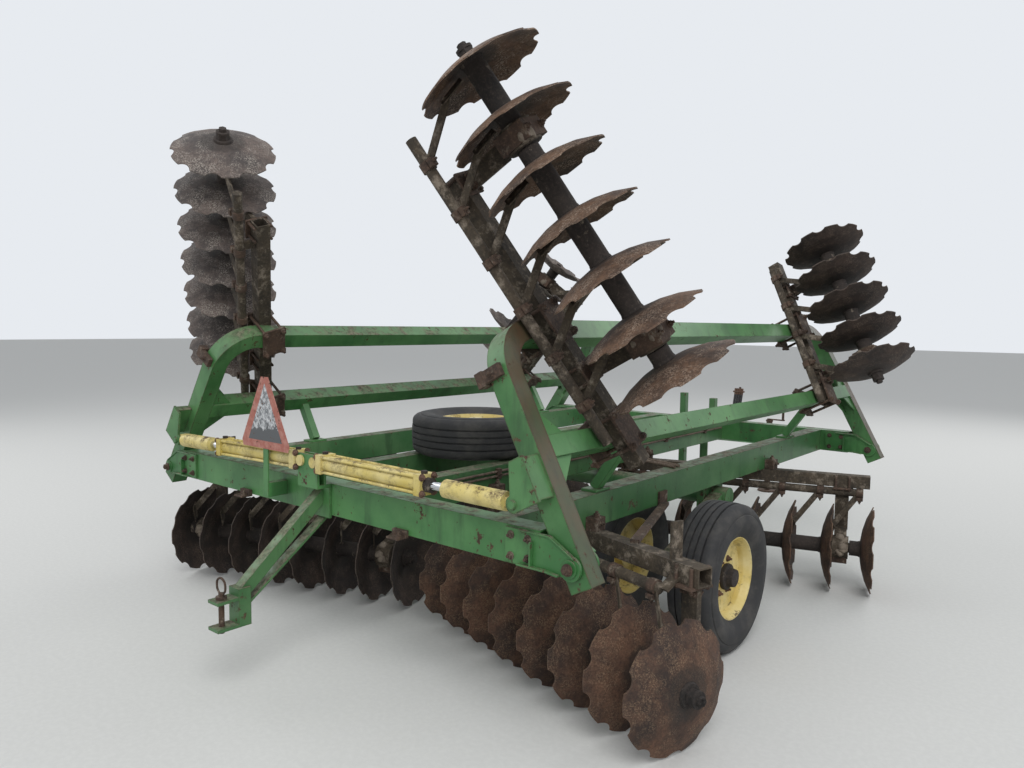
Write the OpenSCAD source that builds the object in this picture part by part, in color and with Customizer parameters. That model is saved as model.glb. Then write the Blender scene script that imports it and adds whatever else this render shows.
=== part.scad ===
// Tandem disc harrow, towed, with folding wings, standing folded for transport.
// Millimetres. X to the right, Y forward (the way it travels), Z up from the ground.

/* [Main frame] */
// Y of the rear face of the rear beam
rear_face_y = -2745; // [-2800:5:-2700]
// Distance between the rear faces of the rear and the front beam
frame_len = 3728; // [3500:1:4000]
// Height of the frame's top above the ground
frame_top_z = 872; // [860:1:900]
// Height of a frame tube
tube_h = 152; // [140:1:160]
// Width of a frame tube
tube_w = 102; // [90:1:110]
// Half of the length of the rear and front beams
beam_half = 1325; // [1290:1:1340]
// Distance of the outer rail's outer face from the middle
rail_out_x = 1126; // [1100:1:1150]
// Distance of the inner rail's outer face from the middle
inner_out_x = 337; // [300:1:380]

/* [Wing hinges] */
// Distance of a wing hinge pin past the beam's end
hinge_past = 146; // [140:1:160]
// Height of a wing hinge pin
hinge_z = 759; // [755:1:775]
// Diameter of a wing hinge pin
hinge_pin_d = 38; // [30:1:44]
// Thickness of the hinge plates
hinge_plate_t = 12; // [8:1:16]
// Radial clearance of a pin in its bore
pin_clear = 0.05; // [0.02:0.01:0.1]

/* [Wings] */
// Fold of the right wing at rest, measured from level
fold_right = 118; // [112:1:122]
// Fold of the left wing at rest, measured from level
fold_left = 124; // [116:1:126]
// Distance of the wing's outer tube from the hinge pin
wing_reach = 950; // [900:5:1000]
// Distance of the wing's middle tube from the hinge pin
wing_mid = 450; // [430:5:520]
// Depth of the wing tubes, square to the wing
wing_tube = 100; // [90:1:104]
// Width of the wing arms along the hinge pin
arm_w = 88; // [80:1:90]
// Bend radius of the wing tube's corners
wing_bend = 200; // [150:5:260]

/* [Discs] */
// Disc diameter
disc_d = 530; // [500:1:560]
// Distance between discs
disc_pitch = 229; // [220:1:240]
// Disc sheet thickness
disc_t = 6; // [4:0.5:8]
// Radius of the disc's dish
dish_r = 560; // [500:5:700]
// Height of the gang shafts above the ground
gang_z = 271; // [270:1:290]
// Diameter of the spools between discs
spool_d = 92; // [80:1:110]
// Number of discs on each centre gang
centre_discs = 8; // [6:1:8]
// Number of discs on each rear wing gang
rear_wing_discs = 7; // [5:1:7]
// Number of discs on each front wing gang
front_wing_discs = 5; // [4:1:6]
// Number of notches round a disc
notches = 10; // [8:1:12]

/* [Gang beams] */
// Side of the square gang beams
gang_beam = 76; // [70:1:80]
// Diameter of the scraper pipes
scraper_d = 48; // [40:1:54]
// Drop of the wing gangs' shafts below the wing hinge, wing level
wing_gang_drop = 450; // [430:5:480]

/* [Wheels] */
// Tyre radius
tyre_r = 376; // [370:1:385]
// Tyre width
tyre_w = 240; // [220:1:250]
// Radius of the rim's flange
rim_r = 215; // [205:1:220]
// Distance of the wheel axle ahead of the rear beam's rear face
axle_y = 1413; // [1380:1:1450]
// Distance of the wheel arms from the middle
wheel_arm_x = 1108; // [1100:1:1115]
// Distance from the middle of a wheel pair to each wheel's middle
twin_half = 293; // [285:1:300]
// Distance of the rockshaft ahead of the rear beam's rear face
rock_y = 2030; // [2010:1:2060]
// Height of the rockshaft
rock_z = 640; // [630:1:645]
// Diameter of the rockshaft
rock_d = 114; // [100:1:120]

/* [Fold cylinders] */
// Distance of the fold cylinders behind the rear beam's rear face
cyl_back = 56; // [54:1:66]
// Height of the fold cylinders' inner pins
cyl_pin_z = 980; // [970:1:990]
// Distance of the fold cylinders' inner pins from the middle
cyl_pin_x = 50; // [45:1:60]
// Length of a fold cylinder's barrel with its end caps
barrel_len = 700; // [660:5:720]
// Diameter of the rod's stop cover
cover_d = 76; // [70:1:80]
// Place of the wing's cylinder pin along the wing arm
lug_s = 289; // [280:1:300]
// Height of the wing's cylinder pin above the wing arm's middle line
lug_h = 83; // [78:1:90]

/* [Tongue] */
// Distance of the tongue's hitch pin ahead of the front beam's front face
tongue_len = 2180; // [2000:10:2300]
// Height of the hitch pin's plates
hitch_z = 430; // [400:5:470]
// Diameter of the hitch pin's hole
hitch_bore = 32; // [25:1:40]
// Diameter of the rear drawpin's hole
drawpin_bore = 26; // [22:1:32]

/* [Hidden] */
$fn = 48;

green = "#3f7f49";
rust = "#5d4438";
disc_brown = "#6a4a3c";
yellow = "#d9bf4a";
chrome = "#c9ccd0";
black = "#26272b";

frame_bot_z = frame_top_z - tube_h;
hinge_x = beam_half + hinge_past;
front_face_y = frame_len + tube_w;
arm_y_rear = tube_w / 2;
arm_y_front = frame_len + tube_w / 2;
// Gap that seats one piece on another
seat = 0.3;

// Gangs: where the inner disc is, how the shaft turns in plan, how many discs, which way the dish opens.
// Then the beam's offset from the shaft, its start and how far it runs past the last disc; the scraper
// pipe's offset, its rise over the beam's underside, its start and how far it runs past the last disc;
// and the last bearing, counted in discs from the outer end
gang_x = 0;
gang_y = 1;
gang_turn = 2;
gang_n = 3;
gang_dish = 4;
gang_beam_off = 5;
gang_beam_from = 6;
gang_beam_past = 7;
gang_pipe_off = 8;
gang_pipe_rise = 9;
gang_pipe_from = 10;
gang_pipe_past = 11;
gang_last_bearing = 12;
rear_gang = [255, 773, -16.5, centre_discs, -1, 122, -150, -48, 20, -24, -20, -185, 1];
front_gang = [162, frame_len - 1398, 16.5, centre_discs, 1, 65, -60, 43, 40, -30, 40, -5, 1];
wing_rear_gang = [600, 440, -20, rear_wing_discs, -1, 20, -330, -290, -100, gang_beam / 2, -170, -90, 2];
wing_front_gang = [440, frame_len - 640, 15, front_wing_discs, 1, 8, -60, 134, -80, gang_beam / 2, -60, 60, 1];

// A straight bar of rectangular section from p to q, w across and h deep
module bar(p, q, w, h) {
    d = q - p;
    flat = norm([d[0], d[1]]);
    translate(p)
        rotate([0, -atan2(d[2], flat), atan2(d[1], d[0])])
            translate([0, -w / 2, -h / 2])
                cube([norm(d), w, h]);
}

// A straight round bar from p to q
module rod(p, q, d) {
    v = q - p;
    flat = norm([v[0], v[1]]);
    translate(p)
        rotate([0, 90 - atan2(v[2], flat), atan2(v[1], v[0])])
            cylinder(d = d, h = norm(v));
}

// Puts the machine's own places, measured from the rear beam, into the object's frame
module placed() translate([0, rear_face_y, 0]) children();

module left_side() mirror([1, 0, 0]) children();

// Wing pieces are drawn level: X out from the hinge pin, Y along it, Z up
module folded(angle) {
    placed()
        translate([hinge_x, 0, hinge_z])
            rotate([0, -angle, 0])
                children();
}

// Rear and front beams with the hinge plates and pins of the wings

module hinge_plate() {
    plate_in = beam_half - 160;
    corner_top = hinge_x - 91;
    corner_low = hinge_x - 101;
    eye_r = 48;
    rotate([90, 0, 0])
        linear_extrude(hinge_plate_t)
            union() {
                polygon([[plate_in, frame_bot_z + 8], [plate_in, frame_top_z - 8],
                    [corner_top, frame_top_z - 8], [hinge_x + 20, hinge_z + eye_r - 6],
                    [hinge_x + 20, hinge_z - eye_r + 6], [corner_low, frame_bot_z + 8]]);
                translate([hinge_x, hinge_z])
                    circle(eye_r);
            }
}

module beam_with_hinges() {
    difference() {
        translate([-beam_half, 0, frame_bot_z])
            cube([2 * beam_half, tube_w, tube_h]);
        for (side = [-1, 1])
            translate([side * beam_half - 40, 8, frame_bot_z + 8])
                cube([80, tube_w - 16, tube_h - 16]);
    }
    for (side = [0, 1])
        mirror([side, 0, 0]) {
            hinge_plate();
            translate([0, tube_w + hinge_plate_t, 0])
                hinge_plate();
            translate([hinge_x, -hinge_plate_t - 14, hinge_z])
                rotate([-90, 0, 0])
                    cylinder(d = hinge_pin_d, h = tube_w + 2 * hinge_plate_t + 28);
        }
}

module rear_beam() {
    color(green) placed() beam_with_hinges();
}

module front_beam() {
    color(green) placed() translate([0, frame_len, 0]) beam_with_hinges();
}

// Rails between the beams, with the rockshaft's bearing blocks under the outer ones

module rail(x_out) {
    translate([x_out - tube_w, tube_w, frame_bot_z])
        cube([tube_w, frame_len - tube_w, tube_h]);
}

module rock_bearing() {
    block_w = 40;
    block_len = 260;
    below = 85;
    difference() {
        translate([rail_out_x - tube_w, rock_y - block_len / 2, rock_z - below])
            cube([block_w, block_len, frame_bot_z - rock_z + below]);
        translate([rail_out_x - tube_w - 1, rock_y, rock_z])
            rotate([0, 90, 0])
                cylinder(d = rock_d + 2 * pin_clear, h = block_w + 2);
    }
}

module outer_rail() {
    rail(rail_out_x);
    rock_bearing();
}

module rail_right() {
    color(green) placed() outer_rail();
}

module rail_left() {
    color(green) placed() left_side() outer_rail();
}

module inner_rail_right() {
    color(green) placed() rail(inner_out_x);
}

module inner_rail_left() {
    color(green) placed() left_side() rail(inner_out_x);
}

// Disc gangs. The shaft lies along X, with its first disc at 0

hub_flat_r = 52;
notch_r = 55;
notch_past = 35;
function sag(r) = dish_r - sqrt(dish_r * dish_r - r * r);
function dish_at(r) = sag(hub_flat_r) - sag(max(r, hub_flat_r));

// A dished sheet, flat round its hub, with rounded notches cut into its edge
module disc() {
    rings = [0, hub_flat_r, 120, 190, disc_d / 2 + 10];
    rotate([0, 90, 0])
        intersection() {
            rotate_extrude()
                polygon(concat([for (r = rings) [r, dish_at(r)]],
                    [for (i = [len(rings) - 1 : -1 : 0]) [rings[i], dish_at(rings[i]) - disc_t]]));
            translate([0, 0, -disc_d / 4])
                linear_extrude(disc_d / 4 + disc_t)
                    difference() {
                        circle(disc_d / 2);
                        for (i = [0 : notches - 1])
                            rotate(i * 360 / notches)
                                translate([disc_d / 2 + notch_past, 0])
                                    circle(notch_r, $fn = 36);
                    }
        }
}

// Bearings sit in two of the gaps between discs, counted from the first disc
function bearing_gaps(g) = [0, g[gang_n] - 1 - g[gang_last_bearing]];
journal_d = 62;
bearing_w = 96;
nut_d = 70;
nut_w = 40;

module disc_gang(g) {
    n = g[gang_n];
    dish = g[gang_dish];
    rotate([0, 0, g[gang_turn]]) {
        for (i = [0 : n - 1])
            translate([i * disc_pitch, 0, 0])
                mirror([dish > 0 ? 1 : 0, 0, 0])
                    disc();
        translate([-70, 0, 0])
            rotate([0, 90, 0])
                cylinder(d = 36, h = (n - 1) * disc_pitch + 140);
        for (end = [-nut_w - disc_t, (n - 1) * disc_pitch])
            translate([end, 0, 0])
                rotate([0, 90, 0])
                    cylinder(d = nut_d, h = nut_w, $fn = 6);
        for (i = [0 : n - 2])
            translate([i * disc_pitch, 0, 0])
                rotate([0, 90, 0])
                    spool(len(search(i, bearing_gaps(g))) > 0);
    }
}

// A spool fills the space between two discs, necked down where a bearing holds the shaft
module spool(in_bearing) {
    neck = in_bearing ? bearing_w + 12 : 0;
    side = (disc_pitch - neck) / 2;
    if (in_bearing)
        cylinder(d = journal_d, h = disc_pitch);
    for (from = [0, disc_pitch - side])
        translate([0, 0, from])
            cylinder(d = spool_d, h = side);
}

module whole_gang(g, z) {
    color(disc_brown)
        translate([g[gang_x], g[gang_y], z])
            disc_gang(g);
}

module rear_gang_right() {
    placed() whole_gang(rear_gang, gang_z);
}

module rear_gang_left() {
    placed() left_side() whole_gang(rear_gang, gang_z);
}

module front_gang_right() {
    placed() whole_gang(front_gang, gang_z);
}

module front_gang_left() {
    placed() left_side() whole_gang(front_gang, gang_z);
}

module wing_rear_gang_right() {
    folded(fold_right) whole_gang(wing_rear_gang, -wing_gang_drop);
}

module wing_rear_gang_left() {
    left_side() folded(fold_left) whole_gang(wing_rear_gang, -wing_gang_drop);
}

module wing_front_gang_right() {
    folded(fold_right) whole_gang(wing_front_gang, -wing_gang_drop);
}

module wing_front_gang_left() {
    left_side() folded(fold_left) whole_gang(wing_front_gang, -wing_gang_drop);
}

// Gang beams: a square tube under the frame, hangers down to the bearings, and the scrapers

bearing_d = 140;

module bearing_housing() {
    rotate([0, 90, 0])
        difference() {
            cylinder(d = bearing_d, h = bearing_w, center = true);
            cylinder(d = journal_d + 2 * pin_clear, h = bearing_w + 2, center = true);
        }
}

module hanger(drop, off) {
    foot_z = 66;
    foot_top = 100;
    plate_w = 80;
    plate_t = 24;
    bearing_housing();
    translate([-plate_w / 2, off - plate_t / 2, foot_top])
        cube([plate_w, plate_t, drop - foot_top]);
    bar([0, off, foot_top + 10], [0, 0, foot_z], plate_w - 8, plate_t);
}

// A flat arm from the pipe down to the hollow side of its disc, with a blade at its end
module scraper(dish, pipe_off, pipe_z) {
    arm_top = [dish * 215, pipe_off, pipe_z];
    arm_foot = [dish * 62, -65, 140];
    blade_top = [dish * 66, -75, 166];
    blade_foot = [dish * 36, -27, 64];
    bar(arm_top, arm_foot, 8, 36);
    bar(blade_top, blade_foot, 6, 70);
}

module gang_beam_at(g, z, top_z) {
    n = g[gang_n];
    dish = g[gang_dish];
    length = (n - 1) * disc_pitch;
    start = g[gang_beam_from];
    beam_end = length + g[gang_beam_past];
    open_end = 60;
    wall = 6;
    drop = top_z - gang_beam - z;
    pipe_off = g[gang_pipe_off];
    pipe_z = drop + g[gang_pipe_rise];
    pipe_from = g[gang_pipe_from];
    translate([g[gang_x], g[gang_y], z])
        rotate([0, 0, g[gang_turn]]) {
            difference() {
                translate([start, g[gang_beam_off] - gang_beam / 2, drop])
                    cube([beam_end - start, gang_beam, gang_beam]);
                for (x = [start - 1, beam_end - open_end])
                    translate([x, g[gang_beam_off] - gang_beam / 2 + wall, drop + wall])
                        cube([open_end + 1, gang_beam - 2 * wall, gang_beam - 2 * wall]);
            }
            for (gap = bearing_gaps(g))
                translate([(gap + 0.5) * disc_pitch, 0, 0])
                    hanger(drop, g[gang_beam_off]);
            translate([pipe_from, pipe_off, pipe_z])
                rotate([0, 90, 0])
                    cylinder(d = scraper_d, h = length + g[gang_pipe_past] - pipe_from);
            for (x = [disc_pitch * 1.25, beam_end - 2 * open_end])
                bar([x, pipe_off, pipe_z], [x, g[gang_beam_off], drop + gang_beam / 2], 50, 12);
            for (i = [0 : n - 2])
                translate([i * disc_pitch + (dish > 0 ? 0 : disc_pitch), 0, 0])
                    scraper(dish, pipe_off, pipe_z);
        }
}

// Upright clamp plate at the end of a rear gang beam
module rear_clamp_plate() {
    plate_t = 12;
    translate([rear_gang[gang_x], rear_gang[gang_y], frame_bot_z - seat])
        rotate([0, 0, rear_gang[gang_turn]])
            translate([1394, rear_gang[gang_beam_off] - 30, -2])
                cube([plate_t, 60, 152]);
}

module rear_gang_beam_right() {
    color(rust)
        placed() {
            gang_beam_at(rear_gang, gang_z, frame_bot_z - seat);
            rear_clamp_plate();
        }
}

module rear_gang_beam_left() {
    color(rust)
        placed()
            left_side() {
                gang_beam_at(rear_gang, gang_z, frame_bot_z - seat);
                rear_clamp_plate();
            }
}

// Flat braces that lie on the rear gang beams and run to tabs on the rails
module rear_gang_braces() {
    brace_w = 40;
    brace_t = 16;
    tab_t = 12;
    tab_len = 80;
    tab_y = 1290;
    brace_z = frame_bot_z + brace_t / 2;
    color(rust)
        placed()
            for (side = [0, 1])
                mirror([side, 0, 0]) {
                    bar([1400, 565, brace_z], [rail_out_x + seat + 22, tab_y, brace_z], brace_w, brace_t);
                    translate([rail_out_x + seat, tab_y - tab_len / 2, frame_bot_z - 20])
                        cube([tab_t, tab_len, 90]);
                }
}

module front_gang_beam_right() {
    color(rust) placed() gang_beam_at(front_gang, gang_z, frame_bot_z - seat);
}

module front_gang_beam_left() {
    color(rust) placed() left_side() gang_beam_at(front_gang, gang_z, frame_bot_z - seat);
}

module wing_rear_gang_beam_right() {
    color(rust) folded(fold_right) gang_beam_at(wing_rear_gang, -wing_gang_drop, -wing_tube / 2 - seat);
}

module wing_rear_gang_beam_left() {
    color(rust)
        left_side() folded(fold_left) gang_beam_at(wing_rear_gang, -wing_gang_drop, -wing_tube / 2 - seat);
}

module wing_front_gang_beam_right() {
    color(rust) folded(fold_right) gang_beam_at(wing_front_gang, -wing_gang_drop, -wing_tube / 2 - seat);
}

module wing_front_gang_beam_left() {
    color(rust)
        left_side() folded(fold_left) gang_beam_at(wing_front_gang, -wing_gang_drop, -wing_tube / 2 - seat);
}

// Wing frame: arms with their bends, the outer tube between them and the middle tube

module wing_arm() {
    straight = wing_reach - wing_bend;
    tail = hinge_past - 56;
    difference() {
        union() {
            translate([-tail, -arm_w / 2, -wing_tube / 2])
                cube([straight + tail, arm_w, wing_tube]);
            translate([straight, wing_bend, 0])
                rotate([0, 0, -90])
                    rotate_extrude(angle = 90, $fn = 96)
                        translate([wing_bend - arm_w / 2, -wing_tube / 2])
                            square([arm_w, wing_tube]);
        }
        rotate([90, 0, 0])
            cylinder(d = hinge_pin_d + 2 * pin_clear, h = arm_w + 2, center = true);
    }
}

// Plate on the rear arm that takes the fold cylinder's pin, with a block that spaces it off the arm
module cylinder_lug() {
    plate_t = 12;
    eye_gap = 18;
    eye_r = 34;
    plate_low = -40;
    plate_high = 30;
    plate_past = 150;
    block_top = -4;
    plate_y = -cyl_back - arm_y_rear - eye_gap - plate_t;
    arm_face = -arm_w / 2;
    rotate([90, 0, 0])
        translate([0, 0, -plate_y - plate_t])
            linear_extrude(plate_t)
                union() {
                    polygon([[lug_s - eye_r + 2, lug_h], [lug_s - eye_r + 2, plate_low],
                        [lug_s + plate_past, plate_low], [lug_s + plate_past, plate_high],
                        [lug_s + eye_r - 2, lug_h]]);
                    translate([lug_s, lug_h])
                        circle(eye_r);
                }
    translate([lug_s - eye_r + 8, plate_y + plate_t, plate_low])
        cube([plate_past + eye_r - 14, arm_face - plate_y - plate_t, block_top - plate_low]);
    translate([lug_s, plate_y, lug_h])
        rotate([90, 0, 0])
            cylinder(d = 36, h = 12);
}

module wing_rear_arm() {
    translate([0, arm_y_rear, 0]) {
        wing_arm();
        cylinder_lug();
    }
}

module wing_front_arm() {
    translate([0, arm_y_front, 0]) mirror([0, 1, 0]) wing_arm();
}

module wing_outer_tube() {
    from_y = arm_y_rear + wing_bend;
    translate([wing_reach - arm_w / 2, from_y, -wing_tube / 2])
        cube([arm_w, arm_y_front - wing_bend - from_y, wing_tube]);
}

// The middle tube carries the two rest struts whose feet stand on the outer rail
module wing_mid_tube(angle) {
    strut_ys = [750, frame_len - 598];
    strut = 46;
    foot_t = 12;
    from_y = arm_y_rear + arm_w / 2;
    foot_x = rail_out_x - tube_w / 2;
    foot_z = frame_top_z + seat;
    mid_x = hinge_x + wing_mid * cos(angle);
    mid_z = hinge_z + wing_mid * sin(angle);
    folded(angle)
        translate([wing_mid - arm_w / 2, from_y, -wing_tube / 2])
            cube([arm_w, arm_y_front - arm_w / 2 - from_y, wing_tube]);
    placed()
        for (y = strut_ys) {
            bar([mid_x, y, mid_z], [foot_x, y, foot_z + foot_t + 2], strut, strut);
            translate([foot_x - 40, y - 60, foot_z])
                cube([80, 120, foot_t]);
        }
}

module wing_rear_arm_right() {
    color(green) folded(fold_right) wing_rear_arm();
}

module wing_rear_arm_left() {
    color(green) left_side() folded(fold_left) wing_rear_arm();
}

module wing_front_arm_right() {
    color(green) folded(fold_right) wing_front_arm();
}

module wing_front_arm_left() {
    color(green) left_side() folded(fold_left) wing_front_arm();
}

module wing_outer_tube_right() {
    color(green) folded(fold_right) wing_outer_tube();
}

module wing_outer_tube_left() {
    color(green) left_side() folded(fold_left) wing_outer_tube();
}

module wing_mid_tube_right() {
    color(green) wing_mid_tube(fold_right);
}

module wing_mid_tube_left() {
    color(green) left_side() wing_mid_tube(fold_left);
}

// Rockshaft with the wheel arms that trail from it, their axles and the lift lever

axle_d = 50;
arm_end_r = 56;
arm_end_w = 84;
lever_h = 190;

module wheel_arm() {
    difference() {
        union() {
            bar([wheel_arm_x, rock_y, rock_z], [wheel_arm_x, axle_y, tyre_r], 76, 90);
            translate([wheel_arm_x - arm_end_w / 2, axle_y, tyre_r])
                rotate([0, 90, 0])
                    cylinder(r = arm_end_r, h = arm_end_w);
        }
    }
    translate([wheel_arm_x - twin_half - 70, axle_y, tyre_r])
        rotate([0, 90, 0])
            cylinder(d = axle_d, h = 2 * twin_half + 140);
}

module rockshaft() {
    shaft_half = wheel_arm_x + 60;
    lever_x = 22;
    color(green)
        placed() {
            translate([-shaft_half, rock_y, rock_z])
                rotate([0, 90, 0])
                    cylinder(d = rock_d, h = 2 * shaft_half);
            for (side = [0, 1])
                mirror([side, 0, 0])
                    wheel_arm();
            for (x = [-lever_x - 14, lever_x])
                difference() {
                    translate([x, rock_y - 45, rock_z])
                        cube([14, 90, lever_h + 40]);
                    translate([x - 1, rock_y, rock_z + lever_h])
                        rotate([0, 90, 0])
                            cylinder(d = 30, h = 16);
                }
        }
}

// Wheels: two tyres and two rims on each side

module tyre() {
    half = tyre_w / 2;
    tread = tyre_r;
    shoulder = 34;
    rotate([0, 90, 0])
        rotate_extrude($fn = 64)
            polygon([[rim_r - 6, -half + 34], [rim_r + 30, -half + 12], [rim_r + 70, -half],
                [rim_r + 105, -half + 2], [tread - 22, -half + 12], [tread - 5, -half + shoulder],
                [tread, -half + shoulder + 26], [tread, half - shoulder - 26],
                [tread - 5, half - shoulder], [tread - 22, half - 12], [rim_r + 105, half - 2],
                [rim_r + 70, half], [rim_r + 30, half - 12], [rim_r - 6, half - 34]]);
}

// The dish is toward +X, the outer side of the wheel
module rim() {
    half = tyre_w / 2 - 34;
    well_r = rim_r - 26;
    rotate([0, 90, 0]) {
        rotate_extrude($fn = 64)
            polygon([[rim_r - 6.3, -half], [rim_r - 6.3, half], [rim_r - 12, half],
                [well_r, half - 40], [well_r, 20], [60, 20], [60, 4], [well_r, 4],
                [well_r, -half + 40], [rim_r - 12, -half]]);
        difference() {
            translate([0, 0, -44])
                cylinder(d = 130, h = 90);
            translate([0, 0, -45])
                cylinder(d = axle_d + 2 * pin_clear, h = 120);
        }
        translate([0, 0, 71])
            cylinder(d = 76, h = 16);
        difference() {
            translate([0, 0, 46])
                cylinder(d = 90, h = 26);
            translate([0, 0, 45])
                cylinder(d = axle_d + 2 * pin_clear, h = 26);
        }
    }
}

module twin_places() {
    for (side = [-1, 1])
        translate([wheel_arm_x + side * twin_half, axle_y, tyre_r])
            mirror([side < 0 ? 1 : 0, 0, 0])
                children();
}

module wheel_tyres_right() {
    color(black) placed() twin_places() tyre();
}

module wheel_tyres_left() {
    color(black) placed() left_side() twin_places() tyre();
}

module wheel_rims_right() {
    color(yellow) placed() twin_places() rim();
}

module wheel_rims_left() {
    color(yellow) placed() left_side() twin_places() rim();
}

// Bracket on the rear beam for the fold cylinders

cyl_pin_d = 25;
eye_t = 24;
lug_t = 12;
lug_gap = eye_t + 2;

module cylinder_bracket() {
    half = 76;
    lug_top = cyl_pin_z + 34;
    lug_bot = frame_top_z + 1;
    color(green)
        placed() {
            translate([-half, -12, frame_bot_z - 14])
                cube([2 * half, 12 - seat, tube_h + 14]);
            for (y = [-cyl_back - lug_gap / 2 - lug_t, -cyl_back + lug_gap / 2])
                translate([-half, y, lug_bot - 10])
                    cube([2 * half, lug_t, lug_top - lug_bot + 10]);
            translate([-half, -cyl_back - lug_gap / 2 - lug_t, lug_bot - 18])
                cube([2 * half, cyl_back + lug_gap / 2 + lug_t - 1, 18]);
            for (x = [-cyl_pin_x, cyl_pin_x])
                translate([x, -cyl_back - lug_gap / 2 - lug_t - 10, cyl_pin_z])
                    rotate([-90, 0, 0])
                        cylinder(d = cyl_pin_d, h = lug_gap + 2 * lug_t + 20);
        }
}

// Fold cylinders, drawn along X from the inner pin

function lug_x(angle) = hinge_x + lug_s * cos(angle) - lug_h * sin(angle);
function lug_z(angle) = hinge_z + lug_s * sin(angle) + lug_h * cos(angle);
rod_d = 36;
rod_clear = 0.05;

module cylinder_axis(angle) {
    placed()
        translate([cyl_pin_x, -cyl_back, cyl_pin_z])
            rotate([0, -atan2(lug_z(angle) - cyl_pin_z, lug_x(angle) - cyl_pin_x), 0])
                children();
}

module eye(d, bore) {
    rotate([90, 0, 0])
        difference() {
            cylinder(d = d, h = eye_t, center = true);
            cylinder(d = bore, h = eye_t + 2, center = true);
        }
}

// A barrel's eye at 0 and the neck that joins it to the end cap
module eye_and_neck(cap_from) {
    difference() {
        union() {
            eye(56, cyl_pin_d);
            translate([18, -eye_t / 2, -22])
                cube([cap_from - 16, eye_t, 44]);
        }
        rotate([90, 0, 0])
            cylinder(d = cyl_pin_d + 2 * pin_clear, h = eye_t + 2, center = true);
    }
}

module fold_barrel(angle) {
    cap = 88;
    from = 34;
    cylinder_axis(angle) {
        eye_and_neck(from);
        difference() {
            union() {
                for (x = [from, from + barrel_len - 40])
                    translate([x, -cap / 2, -cap / 2])
                        cube([40, cap, cap]);
                translate([from, 0, 0])
                    rotate([0, 90, 0])
                        cylinder(d = 76, h = barrel_len);
                for (y = [-34, 34], z = [-34, 34])
                    translate([from + 10, y, z])
                        rotate([0, 90, 0])
                            cylinder(d = 14, h = barrel_len - 20, $fn = 24);
                translate([from + barrel_len, 0, 0])
                    rotate([0, 90, 0])
                        cylinder(d = 60, h = 22);
            }
            translate([from + 40, 0, 0])
                rotate([0, 90, 0])
                    cylinder(d = rod_d + 2 * rod_clear, h = barrel_len);
        }
    }
}

module fold_rod(angle) {
    span = norm([lug_x(angle) - cyl_pin_x, lug_z(angle) - cyl_pin_z]);
    inside = 110;
    cover_from = 840;
    cylinder_axis(angle) {
        translate([inside, 0, 0])
            rotate([0, 90, 0])
                cylinder(d = rod_d, h = cover_from + 10 - inside);
        translate([cover_from, 0, 0])
            rotate([0, 90, 0])
                cylinder(d = cover_d, h = span - cover_from - 52);
        translate([span - 60, -eye_t / 2, -20])
            cube([46, eye_t, 40]);
        translate([span, 0, 0])
            eye(60, 30);
    }
}

module fold_barrel_right() {
    color(yellow) fold_barrel(fold_right);
}

module fold_barrel_left() {
    color(yellow) left_side() fold_barrel(fold_left);
}

module fold_rod_right() {
    color(yellow) fold_rod(fold_right);
}

module fold_rod_left() {
    color(yellow) left_side() fold_rod(fold_left);
}

// Lift cylinder between a cross tube and the rockshaft's lever

lift_pin_y = 3100;
lift_pin_z = rock_z + lever_h;
lift_barrel_len = 560;

module lift_anchor() {
    color(green)
        placed() {
            translate([-inner_out_x + tube_w, lift_pin_y + 60, frame_bot_z])
                cube([2 * (inner_out_x - tube_w), 100, 100]);
            for (x = [-lug_gap / 2 - lug_t, lug_gap / 2])
                translate([x, lift_pin_y - 34, frame_bot_z + 20])
                    cube([lug_t, 96, 130]);
            translate([-lug_gap / 2 - lug_t - 10, lift_pin_y, lift_pin_z])
                rotate([0, 90, 0])
                    cylinder(d = cyl_pin_d, h = lug_gap + 2 * lug_t + 20);
        }
}

module lift_axis() {
    placed()
        translate([0, lift_pin_y, lift_pin_z])
            rotate([0, 0, -90])
                children();
}

module lift_barrel() {
    from = 34;
    color(yellow)
        lift_axis() {
            eye_and_neck(from);
            difference() {
                translate([from, 0, 0])
                    rotate([0, 90, 0])
                        cylinder(d = 96, h = lift_barrel_len);
                translate([from + 40, 0, 0])
                    rotate([0, 90, 0])
                        cylinder(d = rod_d + 2 * rod_clear, h = lift_barrel_len);
            }
        }
}

module lift_rod() {
    span = lift_pin_y - rock_y;
    inside = 300;
    color(chrome)
        lift_axis() {
            translate([inside, 0, 0])
                rotate([0, 90, 0])
                    cylinder(d = rod_d, h = span - inside - 22);
            translate([span, 0, 0])
                eye(60, 30);
        }
}

// Rear hitch: two bars that run down and back to the drawpin's plates

module rear_hitch() {
    half_w = 40;
    plate_t = 14;
    plate_z = 300;
    plate_step = 120;
    pin_back = 530;
    web_back = 470;
    flat_t = 12;
    color(green)
        placed() {
            difference() {
                bar([0, 10, frame_top_z - 45], [0, -430, 450], 56, 56);
                translate([-50, -12 - seat, frame_bot_z - 20])
                    cube([100, 100, 300]);
            }
            translate([-30, 20, frame_bot_z - seat - flat_t])
                cube([60, 70, flat_t]);
            bar([0, 26, frame_bot_z - seat - 7], [0, 30 - web_back, 372], 54, flat_t);
            translate([-half_w, -web_back, plate_z])
                cube([2 * half_w, 60, 170]);
            for (z = [plate_z, plate_z + plate_step])
                difference() {
                    translate([-half_w, -pin_back - 40, z])
                        cube([2 * half_w, 110, plate_t]);
                    translate([0, -pin_back, z - 1])
                        cylinder(d = drawpin_bore, h = plate_t + 2);
                }
        }
}

// Slow vehicle sign on its post

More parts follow.
